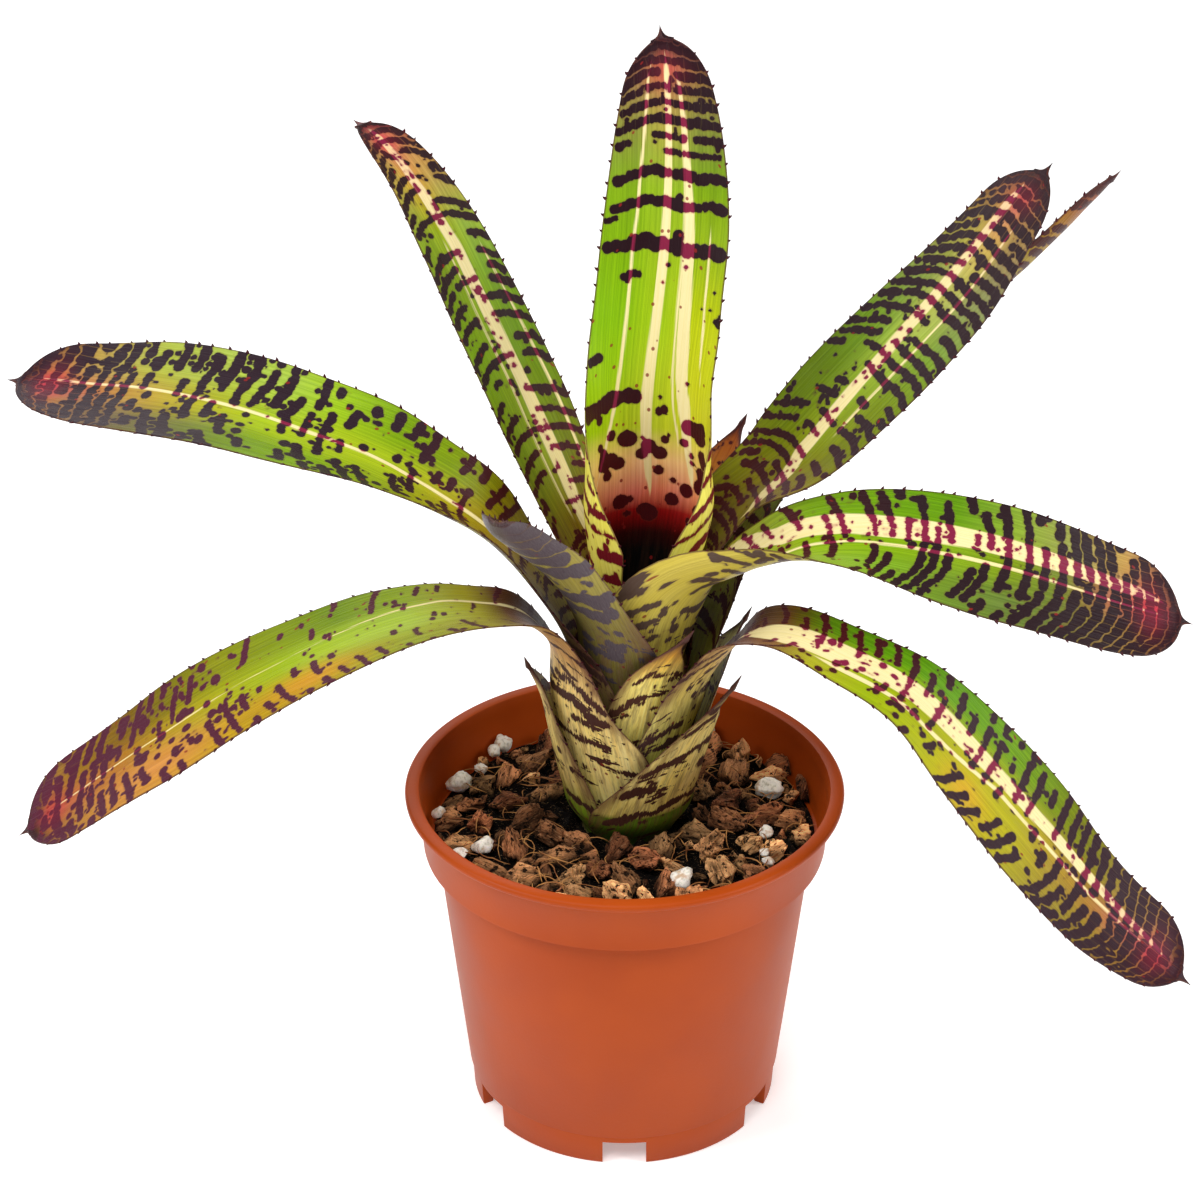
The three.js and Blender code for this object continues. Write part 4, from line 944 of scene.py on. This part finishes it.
# What each leaf looks like, by length along it from the foot:
# tone, back: ground colour above and below; cap: colour of the tip; ink, ink_back: of the marks; tip: its shape
# bands, thick, cover: the dark bands, their thickness, and how much of each is there at left, middle and right
# sweep, slant, bow, run, double: how far a band's ends trail, its tilt, its waves, its dashes, its side dots
# spots: rows of number, from, to, left, right, least and most size; patches: length, place, reach, colour, share
# sheath: where the ragged bands of the sheath end; fray: raggedness; silver_back: scurf; net, blush: the rosy tip
# stripes: cream stripes, each in rows of length, place, width; freckle: share of freckles; under: the back's own marks
BACK = [
    (0, (84, 122, 34)), (13, (98, 134, 38)), (25, (188, 172, 100)), (70, (184, 166, 92)), (95, (150, 142, 66)),
    (140, (132, 140, 58)), (220, (134, 128, 62)), (262, (104, 62, 58)),
]
INNER = [(0, (190, 178, 110)), (60, (176, 166, 84)), (150, (128, 140, 50))]
SCALE_LEAF = dict(tip="sharp", net=0.0, blush=0.0)
LOOKS = {
    "leaf_centre_back": dict(
        ink_back=(104, 20, 30), silver_back=0.0, ink=(34, 14, 20), blush=0.5, net=0.22, fray=1.2,
        tone=[
            # deep in the funnel, up to 93 mm, the top side is painted near black: painted shade of the throat, before
            # its red
            (0, (14, 4, 3), (10, 2, 2), (14, 4, 3)), (93, (14, 4, 3), (10, 2, 2), (14, 4, 3)),
            (99, (84, 12, 18), (50, 4, 10), (84, 12, 18)), (106, (168, 52, 50), (130, 16, 34), (168, 52, 48)),
            (112, (220, 150, 108), (210, 112, 98), (220, 150, 104)),
            (122, (220, 188, 110), (232, 180, 130), (220, 188, 104)),
            (132, (186, 184, 50), (168, 180, 46), (140, 172, 28)),
            (165, (166, 176, 30), (142, 174, 36), (116, 162, 14)),
            (186, (128, 154, 20), (136, 164, 38), (112, 152, 30)),
            (206, (106, 138, 24), (130, 160, 44), (112, 146, 36)),
            (226, (98, 108, 54), (142, 142, 66), (112, 120, 58)), (246, (112, 74, 66), (140, 84, 66), (120, 84, 74)),
            (256, (64, 26, 42)),
        ],
        back=[
            (0, (84, 122, 34)), (30, (190, 176, 96)), (80, (206, 198, 92)), (120, (226, 214, 96)),
            (150, (214, 206, 84)), (185, (150, 158, 60)), (256, (110, 90, 66)),
        ],
        under=dict(
            bands=[
                62, 68, (75, 3), (82, 3.4), (88, 1.2), (93, 1.6), (97, 1), (103, 3), (110, 3.4), (116, 1.4),
                *range(122, 250, 7),
            ],
            thick=[(60, 2), (120, 2.2), (190, 2.4), (240, 3)],
            cover=[(60, 0.8, 0.3, 0.8), (120, 0.8, 0.3, 0.8), (190, 0.7, 0.6, 0.7), (250, 0.8)],
            spots=[(240, 60, 200, -1, 1, 0.35, 1.3)],
        ),
        sweep=[(50, 8), (100, 3), (260, 3)],
        stripes=[
            [(112, 0, 2.2), (140, 0.06, 3.6), (186, 0.02, 3), (247, -0.02, 1.4)],
            [(116, 0.42, 1.1), (186, 0.5, 1.1), (245, 0.42, 0.8)],
            [(126, -0.27, 0.8), (238, -0.28, 0.7)],
            [(114, -0.3, 2), (140, -0.42, 4.6), (180, -0.38, 4), (205, -0.34, 2.4), (242, -0.26, 1)],
            [(150, -0.72, 0.8), (196, -0.7, 0.8)],
        ],
        bands=[
            (141, 5, 0.12, 0.97), (133.5, 5.2, -0.62, -0.36), (139, 3, -0.2, -0.07), (189, 5, -1, 0.92),
            (202, 3.4, -1, 0.86), (211, 3.6, -1, 0.86), (179, 2.5, 0.35, 0.62), (199, 2.4, 0.75, 1), (155, 3, 0.8, 1),
            (170, 2.5, -1, -0.86), (217.5, 2.2, -0.9, 0.1), 222, (227, 3.2, -1, 1), 232, (236.5, 3, -1, 1), 241, 245,
            249, 253, 257,
        ],
        thick=[(100, 3), (215, 2.8), (235, 3), (252, 3.4)],
        cover=[(100, 0.1), (215, 0.8), (250, 1, 0.85, 1)],
        freckle=[(95, 0.5), (120, 0.5), (180, 0.42), (215, 0.12)],
        spots=[(14, 120, 190, -1, 1, 0.5, 1), (46, 104, 132, -0.7, 0.7, 1, 2.7)],
    ),
    "leaf_left_back": dict(
        back=BACK, ink=(44, 27, 28), blush=0.85, net=0.5, cap=(92, 26, 42),
        tone=[
            (0, (160, 150, 75)), (105, (107, 88, 15), (120, 98, 30), (120, 111, 43)),
            (130, (98, 107, 15), (131, 148, 41), (124, 148, 39)),
            (165, (98, 131, 24), (118, 148, 32), (112, 146, 34)),
            (190, (113, 148, 45), (124, 150, 36), (105, 131, 36)),
            (206, (133, 158, 62), (139, 155, 32), (128, 152, 47)),
            (226, (158, 128, 79), (184, 141, 54), (171, 150, 75)),
            (245, (171, 90, 83), (184, 111, 98), (150, 107, 98)), (255, (111, 36, 49)),
        ],
        stripes=[
            [(98, -0.05, 3), (120, -0.2, 5), (200, -0.12, 4.6), (225, 0.04, 3.8), (249, -0.06, 1.6)],
            [(105, 0.13, 0.8), (205, 0.15, 0.7)],
            [(110, -0.8, 0.9), (200, -0.72, 0.8)],
        ],
        bands=[
            60, 72, 84, 92, 100, 106, 112, 118, 124, 130, 137, 143, 150, 156, 162, 168, 176, 182, 188, 193, 198, 205,
            211, 216, 221, 226, 231, 236, 241, 246, 251, 256,
        ],
        thick=[(60, 3), (110, 2.3), (180, 2.9), (220, 2.6), (245, 3)],
        cover=[(60, 0.5), (110, 0.72, 0.42, 0.8), (180, 0.82, 0.45, 0.85), (245, 0.9, 0.7, 0.9)],
        spots=[(90, 100, 245, -0.9, 0.9, 0.35, 1.2), (60, 100, 240, -0.35, 0.1, 0.35, 1)],
    ),
    "leaf_right_back": dict(
        back=BACK, ink=(44, 28, 32), net=0.5,
        tone=[
            (0, (160, 150, 75)), (105, (120, 111, 21), (88, 73, 15), (98, 83, 19)),
            (125, (113, 94, 26), (118, 109, 28), (118, 120, 28)),
            (146, (103, 109, 13), (125, 139, 28), (102, 122, 21)),
            (166, (103, 120, 26), (125, 150, 43), (94, 118, 32)),
            (186, (107, 137, 47), (148, 169, 71), (101, 135, 41)),
            (206, (122, 133, 81), (158, 160, 81), (117, 137, 66)),
            (226, (126, 113, 86), (173, 156, 77), (139, 139, 66)),
            (245, (105, 75, 66), (167, 111, 92), (135, 83, 64)), (258, (75, 26, 39)),
        ],
        stripes=[
            [(116, -0.8, 4), (126, -0.45, 5), (140, -0.1, 5), (170, 0.03, 4.6), (200, 0.15, 4.4), (247, 0.32, 2.8)],
            [(150, -0.36, 1), (235, -0.3, 0.9)],
        ],
        bands=[
            60, 70, 80, 88, 96, 102, 108, 112, 117, 122, 127, 132, 136, 141, 148, 154, 160, 165, 169, 174, 180, 185,
            190, 196, 202, 207, 212, 217, 222, 227, 232, 237, 242, 246, 250, 254, 258, 262,
        ],
        thick=[(60, 3), (110, 2.6), (200, 3.1), (230, 3.5), (254, 4)],
        cover=[
            (60, 0.5), (110, 0.8, 0.55, 0.7), (170, 0.82, 0.4, 0.62), (215, 0.92, 0.6, 0.85), (250, 1.1, 0.9, 1.1),
        ],
        sweep=[(50, 8, 8), (120, 4, 9), (260, 4, 9)],
        spots=[(120, 105, 240, -0.95, 0.95, 0.35, 1.3), (80, 110, 245, -0.1, 0.4, 0.35, 1.1)],
    ),
    "leaf_right": dict(
        ink_back=(80, 60, 48), silver_back=0.06, ink=(38, 22, 26), blush=0.95, net=0.6,
        tone=[
            (0, (160, 150, 80)), (100, (150, 142, 60)), (130, (132, 162, 58), (122, 154, 34), (108, 144, 12)),
            (150, (112, 150, 44), (112, 148, 32), (95, 137, 30)), (170, (97, 122, 46), (117, 148, 37), (86, 128, 27)),
            (190, (92, 110, 54), (108, 130, 34), (118, 144, 52)),
            (208, (92, 104, 50), (100, 112, 44), (130, 134, 66)),
            (228, (120, 100, 60), (130, 80, 60), (150, 120, 80)), (243, (92, 56, 62), (160, 52, 62), (150, 96, 98)),
            (251, (58, 26, 38), (72, 24, 36), (60, 30, 40)),
        ],
        back=[
            (0, (84, 122, 34)), (20, (186, 172, 90)), (60, (178, 164, 76)), (100, (190, 170, 74)),
            (130, (158, 152, 62)), (200, (118, 110, 68)), (251, (92, 62, 62)),
        ],
        under=dict(
            bands=[*range(40, 132, 6), *range(136, 246, 6)],
            thick=[(40, 2.4), (70, 2.6), (130, 1.7), (240, 2.6)],
            cover=[(40, 0.4), (80, 0.55, 0.5, 0.6), (130, 0.55, 0.45, 0.6), (240, 0.7)],
            spots=[(150, 52, 130, -0.95, 0.95, 0.35, 1.9)],
            sweep=[(50, 9), (100, 7)],
            slant=-4,
        ),
        stripes=[
            [(103, 0.9, 5), (120, 0.5, 7.2), (150, 0.3, 8), (200, 0.3, 6.4), (240, 0.32, 3.4)],
            [(112, 0.05, 1.3), (150, -0.06, 1.2), (242, 0, 0.9)],
        ],
        bands=[
            34, 44, 53, 62, 70, 78, 85, 92, 99, 106, 112, 118, 126, 134, 138, 147, 152, 157, 162, 166, 170, 178, 182,
            188, 195, 200, 206, 211, 215, 219.5, 224, 228, 232, 236, 240, 244, 248, 252, 256,
        ],
        thick=[(30, 3), (100, 2), (150, 2.8), (195, 3.2), (212, 3.9), (245, 4.3)],
        sweep=[(50, 8, 8), (120, 8, 3), (260, 8, 3)],
        cover=[
            (30, 0.4), (100, 0.4, 0.4, 0.45), (125, 0.55, 0.55, 0.6), (170, 0.75, 0.62, 0.7), (200, 0.9, 0.72, 0.78),
            (214, 1.1, 0.9, 0.8), (228, 1.2, 0.9, 0.85), (246, 1.2, 0.9, 1.2),
        ],
        spots=[
            (50, 60, 120, -0.9, 0.9, 0.4, 1.3), (110, 110, 240, -0.9, 0.9, 0.35, 1.3),
            (60, 120, 240, 0, 0.5, 0.3, 0.9),
        ],
        patches=[(240, 0.35, 9, 0.4, (205, 66, 78), 0.75)],
    ),
    "leaf_front": dict(
        ink=(42, 20, 16), ink_back=(76, 64, 70), net=0.0, bow=0.35, sheath=60, fray=2.9, run=9, double=0.02,
        silver_back=0.16,
        tone=[(0, (190, 178, 110)), (60, (160, 140, 60)), (140, (142, 108, 34)), (170, (60, 36, 36))],
        back=[
            (0, (84, 122, 34)), (18, (140, 136, 60)), (40, (118, 108, 46)), (64, (104, 92, 40)), (84, (118, 108, 52)),
            (104, (140, 128, 60)), (124, (136, 124, 60)), (142, (116, 100, 62)), (156, (60, 48, 42)),
            (166, (34, 24, 24)),
        ],
        bands=[36, 44, 52, 60, 67, 74, 80, 86.5, 94, 101.5, 109, 117.5, 126.5, 135.5, 144.5, 153, 161],
        thick=[(36, 2), (74, 3.2), (88, 5.2), (109, 6.4), (118, 7.6), (160, 8.2)],
        cover=[
            (36, 0.3), (70, 0.4, 0.3, 0.4), (88, 0.52, 0.42, 0.52), (108, 0.66, 0.56, 0.66), (120, 1.1, 1, 1.1),
            (160, 1.2),
        ],
        sweep=[(50, 8), (100, 6)],
        spots=[(60, 34, 118, -0.9, 0.9, 0.5, 1.7), (10, 60, 104, -0.9, 0.9, 1.8, 3.2)],
    ),
    "leaf_far_right": dict(
        silver_back=0.0, net=0.3, ink_back=(66, 34, 30), ink=(52, 32, 26),
        tone=[
            (0, (150, 140, 70)), (120, (120, 128, 40)), (190, (112, 120, 76)), (212, (106, 102, 78)),
            (232, (98, 82, 52)), (252, (132, 98, 64)), (270, (102, 70, 66)), (277, (60, 30, 36)),
        ],
        back=[
            (0, (84, 122, 34)), (60, (160, 150, 80)), (160, (140, 138, 50)), (205, (138, 130, 50)),
            (235, (134, 112, 46)), (258, (130, 80, 50)), (277, (90, 34, 40)),
        ],
        bands=[60, 70, 80, 90, *range(98, 270, 6)],
        thick=[(60, 3), (150, 2.8), (260, 3.2)],
        cover=[(60, 0.5), (150, 0.75, 0.7, 0.75), (260, 0.85, 0.8, 0.85)],
        spots=[(30, 100, 260, -0.9, 0.9, 0.4, 1.1)],
    ),
    "leaf_left": dict(
        ink=(42, 27, 35), blush=0.85, ink_back=(62, 34, 24), double=0.3, run=5.5, net=0.5,
        tone=[
            (0, (160, 150, 80)), (115, (129, 116, 22), (139, 115, 28), (135, 106, 24)),
            (135, (113, 134, 6), (154, 147, 40), (141, 133, 32)),
            (155, (105, 137, 10), (147, 166, 40), (127, 145, 40)),
            (175, (133, 166, 40), (147, 166, 42), (113, 145, 20)),
            (195, (143, 168, 67), (141, 163, 37), (101, 129, 24)),
            (215, (145, 162, 73), (147, 145, 34), (93, 101, 38)), (235, (147, 158, 65), (158, 127, 47), (95, 85, 51)),
            (255, (147, 129, 71), (141, 91, 53), (91, 65, 57)), (272, (111, 65, 57), (119, 59, 51), (95, 53, 47)),
            (282, (56, 28, 40)),
        ],
        back=[
            (0, (84, 122, 34)), (20, (170, 160, 90)), (50, (128, 116, 58)), (75, (92, 80, 40)), (110, (126, 114, 44)),
            (150, (150, 138, 60)), (220, (120, 108, 68)), (280, (84, 58, 58)),
        ],
        stripes=[
            [(110, 0.05, 2.6), (135, 0, 1.7), (200, -0.08, 1.4), (270, -0.18, 1.2)],
        ],
        bands=[
            30, 40, 50, 58, 65, 71, 77, 83, 89, 95, 102, 108, 115, 121, 128, 134, 139, 146, 152, 158, 164, 170, 176,
            182, 188, 194, 200, 206, 212, 218, 224, 230, 236, 242, 247, 252, 257, 262, 267, 272, 277, 282,
        ],
        sweep=[(50, 8, 8), (110, 1.5, 6), (280, 2, 6)],
        thick=[(30, 3), (110, 2.6), (170, 3.4), (240, 3.8), (265, 4.2)],
        cover=[
            (30, 0.4), (100, 0.7, 0.6, 0.6), (115, 0.8, 0.4, 0.55), (160, 0.5, 0.45, 0.58), (200, 0.62, 0.5, 0.7),
            (245, 0.85, 0.6, 0.85), (268, 1.05, 0.9, 1.05),
        ],
        spots=[(150, 130, 264, -0.9, 0.9, 0.4, 1.8)],
    ),
    "leaf_short_front": dict(
        **SCALE_LEAF,
        tone=INNER, ink=(84, 50, 34), ink_back=(72, 38, 24), silver_back=0.05,
        back=[
            (0, (88, 128, 32)), (16, (174, 174, 73)), (30, (250, 222, 122)), (66, (250, 226, 122)),
            (78, (238, 174, 68)), (90, (155, 97, 38)),
        ],
        bands=[24, 36, (44, 1.6), 55, (60, 2.6), 70],
        thick=[(20, 2.4), (80, 2)],
        cover=[(20, 0.3), (60, 0.5, 0.45, 0.5), (80, 0.4)],
        spots=[(20, 20, 70, -0.9, 0.9, 0.5, 1.3)],
    ),
    "leaf_short_back": dict(
        **SCALE_LEAF,
        ink=(84, 40, 26), ink_back=(84, 44, 28), silver_back=0.2,
        tone=[
            (0, (150, 140, 80)), (70, (176, 140, 64)), (100, (176, 122, 58)), (125, (150, 86, 46)),
            (140, (120, 52, 40)),
        ],
        back=[
            (0, (84, 122, 34)), (25, (180, 166, 96)), (90, (170, 136, 80)), (120, (148, 96, 56)),
            (140, (110, 62, 40)),
        ],
        bands=[26, 33, 40, 47, 54, 61, 68, 75, 82, 95, 108],
        thick=[(20, 2.4), (80, 2), (120, 1.4)],
        cover=[(20, 0.5), (70, 0.5, 0.45, 0.5), (90, 0.2)],
        spots=[(90, 60, 130, -0.95, 0.95, 0.3, 0.8)],
    ),
    "leaf_right_front": dict(
        ink=(48, 27, 34), blush=0.8, run=5.5, double=0.12, net=0.7, ink_back=(70, 38, 34), silver_back=0.1,
        tone=[
            (0, (160, 150, 80)), (84, (84, 48, 36), (84, 46, 36), (72, 44, 30)),
            (98, (124, 84, 50), (116, 76, 48), (88, 64, 28)), (110, (157, 155, 45), (143, 147, 47), (80, 116, 4)),
            (130, (137, 157, 19), (143, 161, 31), (84, 133, 4)), (150, (151, 157, 27), (143, 149, 29), (86, 133, 6)),
            (172, (169, 155, 33), (159, 157, 35), (94, 135, 10)),
            (192, (157, 149, 37), (157, 151, 39), (98, 127, 16)),
            (210, (139, 123, 51), (153, 127, 51), (106, 114, 19)),
            (230, (127, 110, 41), (147, 108, 51), (118, 108, 41)), (250, (102, 59, 47), (139, 80, 68), (106, 80, 70)),
            (267, (62, 26, 40)),
        ],
        back=[
            (0, (88, 128, 32)), (16, (128, 157, 42)), (32, (174, 176, 73)), (50, (231, 215, 116)),
            (72, (220, 185, 107)), (88, (162, 120, 77)), (104, (158, 136, 65)), (140, (136, 130, 59)),
            (220, (124, 109, 65)), (267, (92, 61, 57)),
        ],
        sweep=[(50, 8, 8), (110, 8, 3), (260, 8, 3.5)],
        stripes=[
            [
                (84, 0.05, 5), (100, -0.05, 11), (120, 0.05, 10), (150, 0.12, 8.4), (180, 0.2, 6), (230, 0.35, 4),
                (257, 0.2, 1.6),
            ],
            [(112, -0.45, 2.2), (150, -0.38, 1.9), (180, -0.04, 1.6), (232, 0.12, 1.2), (250, 0.1, 1)],
        ],
        bands=[
            20, 28, 36, 44, 51, 58, 64, 70, 77, 84, 91, 98, 104, 110, 116, 122, 128, 134, 140, 146, 152, 158, 164,
            170, 176, 182, 188, 194, 200, 206, 212, 217, 222, 227, 232, 237, 241, 245, 249, 253, 257, 261, 265, 269,
            273,
        ],
        thick=[(20, 2.4), (90, 1.8), (150, 2.6), (210, 3.2), (232, 4), (260, 4.4)],
        cover=[
            (20, 0.3), (90, 0.35, 0.35, 0.45), (150, 0.3, 0.42, 0.68), (190, 0.55, 0.48, 0.68),
            (215, 0.9, 0.62, 0.85), (240, 1.1, 0.85, 1.1), (262, 1.2, 0.95, 1.2),
        ],
        spots=[
            (40, 30, 90, -0.9, 0.9, 0.5, 1.4), (170, 105, 250, -0.9, 0.9, 0.35, 1.4),
            (80, 100, 250, -0.1, 0.5, 0.3, 0.8),
        ],
        patches=[(172, -0.62, 9, 0.35, (204, 140, 48), 0.5)],
    ),
    "leaf_left_front": dict(
        ink=(78, 28, 46), blush=0.5, net=0.35, run=5, ink_back=(66, 34, 26), silver_back=0.05,
        tone=[
            (0, (137, 128, 56)), (84, (70, 40, 30), (76, 42, 34), (70, 40, 32)),
            (97, (84, 54, 24), (104, 68, 42), (96, 64, 38)), (108, (147, 139, 27), (150, 146, 36), (134, 125, 27)),
            (130, (120, 141, 4), (150, 173, 56), (129, 138, 5)), (150, (96, 120, 4), (146, 171, 50), (142, 134, 4)),
            (170, (113, 129, 4), (139, 162, 33), (157, 131, 8)),
            (190, (120, 125, 12), (144, 149, 23), (166, 134, 31)),
            (210, (108, 100, 14), (149, 131, 27), (171, 125, 41)),
            (230, (108, 83, 8), (154, 104, 35), (169, 117, 48)), (250, (114, 83, 19), (150, 92, 45), (146, 98, 50)),
            (266, (106, 69, 35), (100, 58, 39), (83, 45, 27)), (275, (51, 24, 25)),
        ],
        back=[
            (0, (88, 128, 32)), (10, (126, 143, 48)), (20, (250, 230, 144)), (60, (250, 214, 132)),
            (76, (191, 145, 88)), (92, (153, 116, 68)), (106, (166, 149, 70)), (150, (143, 139, 61)),
            (230, (132, 109, 70)), (275, (92, 61, 57)),
        ],
        stripes=[
            [(84, -0.4, 2), (118, -0.42, 0.9), (160, -0.2, 0.2), (200, -0.08, 0.3), (262, -0.08, 0.6)],
        ],
        bands=[
            26, 37, 44, 51, (58, 2.8), 65, (72, 2.8), 80, 87, 94, 100, 108, 114, 121, 128, 134, 141, 148, 154, 160,
            166, 172, 178, 184, 190, 197, 204, 210, 216, 222, 228, 234, 239, 244, 249, 254, 259, 264, 269, 274,
        ],
        sweep=[(50, 8), (120, 4), (260, 5)],
        thick=[(26, 2.3), (60, 2.4), (95, 1.8), (200, 2.5), (235, 3.2), (262, 3.8)],
        cover=[
            (26, 0.35), (60, 0.44, 0.42, 0.46), (80, 0.4, 0.4, 0.5), (100, 0.35, 0.12, 0.34), (150, 0.3, 0.1, 0.62),
            (190, 0.34, 0.18, 0.66), (215, 0.62, 0.4, 0.62), (250, 0.8, 0.62, 0.75),
        ],
        spots=[
            (30, 16, 70, -0.9, 0.9, 0.5, 1.4), (70, 100, 190, -0.9, 0.9, 0.35, 1.1),
            (190, 185, 268, -0.9, 0.9, 0.4, 2),
        ],
        patches=[(162, 0.62, 14, 0.3, (206, 132, 34), 0.6), (215, 0.5, 22, 0.45, (206, 128, 76), 0.5)],
    ),
    "leaf_short_right": dict(
        **SCALE_LEAF,
        tone=INNER, back=BACK, ink=(84, 50, 34), ink_back=(70, 40, 28),
        bands=[20, 30, 40, 50, 60],
        thick=[(20, 2.6), (80, 2.2)],
        cover=[(20, 0.3), (80, 0.3)],
        spots=[(20, 20, 70, -0.9, 0.9, 0.5, 1.3)],
    ),
    "sheath_left": dict(
        **SCALE_LEAF,
        tone=INNER, ink=(84, 50, 40), ink_back=(66, 38, 30), silver_back=0.05,
        back=[
            (0, (88, 128, 32)), (16, (120, 155, 40)), (26, (250, 228, 142)), (60, (250, 214, 128)),
            (72, (162, 113, 68)),
        ],
        bands=[22, 31, 36, 42, 48, 55],
        thick=[(20, 2.4), (60, 2.6)],
        cover=[(20, 0.3), (60, 0.35)],
        spots=[(16, 16, 60, -0.9, 0.9, 0.5, 1.3)],
    ),
    "sheath_right": dict(
        **SCALE_LEAF,
        tone=INNER, ink=(84, 50, 40), ink_back=(68, 36, 26), silver_back=0.04,
        back=[
            (0, (48, 66, 4)), (9, (70, 98, 6)), (16.5, (88, 118, 10)), (18.5, (226, 208, 116)), (26, (250, 228, 136)),
            (60, (250, 222, 130)), (69, (174, 120, 73)),
        ],
        bands=[(18.5, 2.4, -0.8, 0.6), 32, (40, 2.6, -0.8, 0.7), 51, 57],
        thick=[(20, 3), (60, 2.4)],
        cover=[(20, 0.35), (60, 0.4)],
        spots=[(24, 14, 60, -0.9, 0.9, 0.4, 1.1)],
    ),
}
for number, (name, look) in enumerate(LOOKS.items()):
    leaf_piece(name, look, number + 1)

# ---------------------------------------------------------------- studio
# A plain white table, a bright room, four softboxes from the left, right, back and front, and the camera.
TABLE_GLOW, ROOM_LIGHT, TABLE_HALF = 0.33, 0.25, 25
CAMERA_AT, CAMERA_TILT, FOCAL, SENSOR = (-7.84, -900, 673), 61.27, 99.6, 36  # mm from the pot's foot, degrees, mm
white, add = skin("table_top", Roughness=0.9, Specular_IOR_Level=0.1, Emission_Strength=TABLE_GLOW)
add("shader", {"Base Color": paint(250, 250, 250), "Emission Color": (1, 1, 1, 1)})
plane = bpy.data.meshes.new("table_top")
corners = [(TABLE_HALF * x, TABLE_HALF * y, 0) for x, y in ((-1, -1), (1, -1), (1, 1), (-1, 1))]
plane.from_pydata(corners, [], [(0, 1, 2, 3)])
plane.materials.append(white)
table = bpy.data.objects.new("table_top", plane)
bpy.context.scene.collection.objects.link(table)

world = bpy.data.worlds.new("room")
bpy.context.scene.world = world
world.use_nodes = True
room = world.node_tree.nodes["Background"].inputs
room["Color"].default_value = (1, 1, 1, 1)
room["Strength"].default_value = ROOM_LIGHT


def softbox(name, power, size, place, aim=(0, 0, 0.18)):
    """A square area light in watts and metres, turned to face the plant."""
    lamp = bpy.data.lights.new(name, "AREA")
    lamp.energy, lamp.size = power, size
    made = bpy.data.objects.new(name, lamp)
    made.location = place
    made.rotation_euler = (Vector(place) - Vector(aim)).to_track_quat("Z", "Y").to_euler()
    bpy.context.scene.collection.objects.link(made)


softbox("left_box", 11.6, 0.7, (-0.95, -0.3, 1.0))
softbox("right_box", 13, 0.7, (1.05, -0.25, 0.9))
softbox("back_box", 5, 0.9, (-0.35, 1.15, 0.9))
softbox("front_box", 6.9, 0.5, (-0.2, -0.8, 1.2))

lens = bpy.data.cameras.new("camera")
lens.lens, lens.sensor_width = FOCAL, SENSOR
camera = bpy.data.objects.new("camera", lens)
camera.location = ((pot_x + CAMERA_AT[0]) / 1000, (pot_y + CAMERA_AT[1]) / 1000, CAMERA_AT[2] / 1000)
camera.rotation_euler = (math.radians(CAMERA_TILT), 0, 0)
bpy.context.scene.collection.objects.link(camera)
bpy.context.scene.camera = camera
bpy.context.scene.view_settings.view_transform = "Standard"
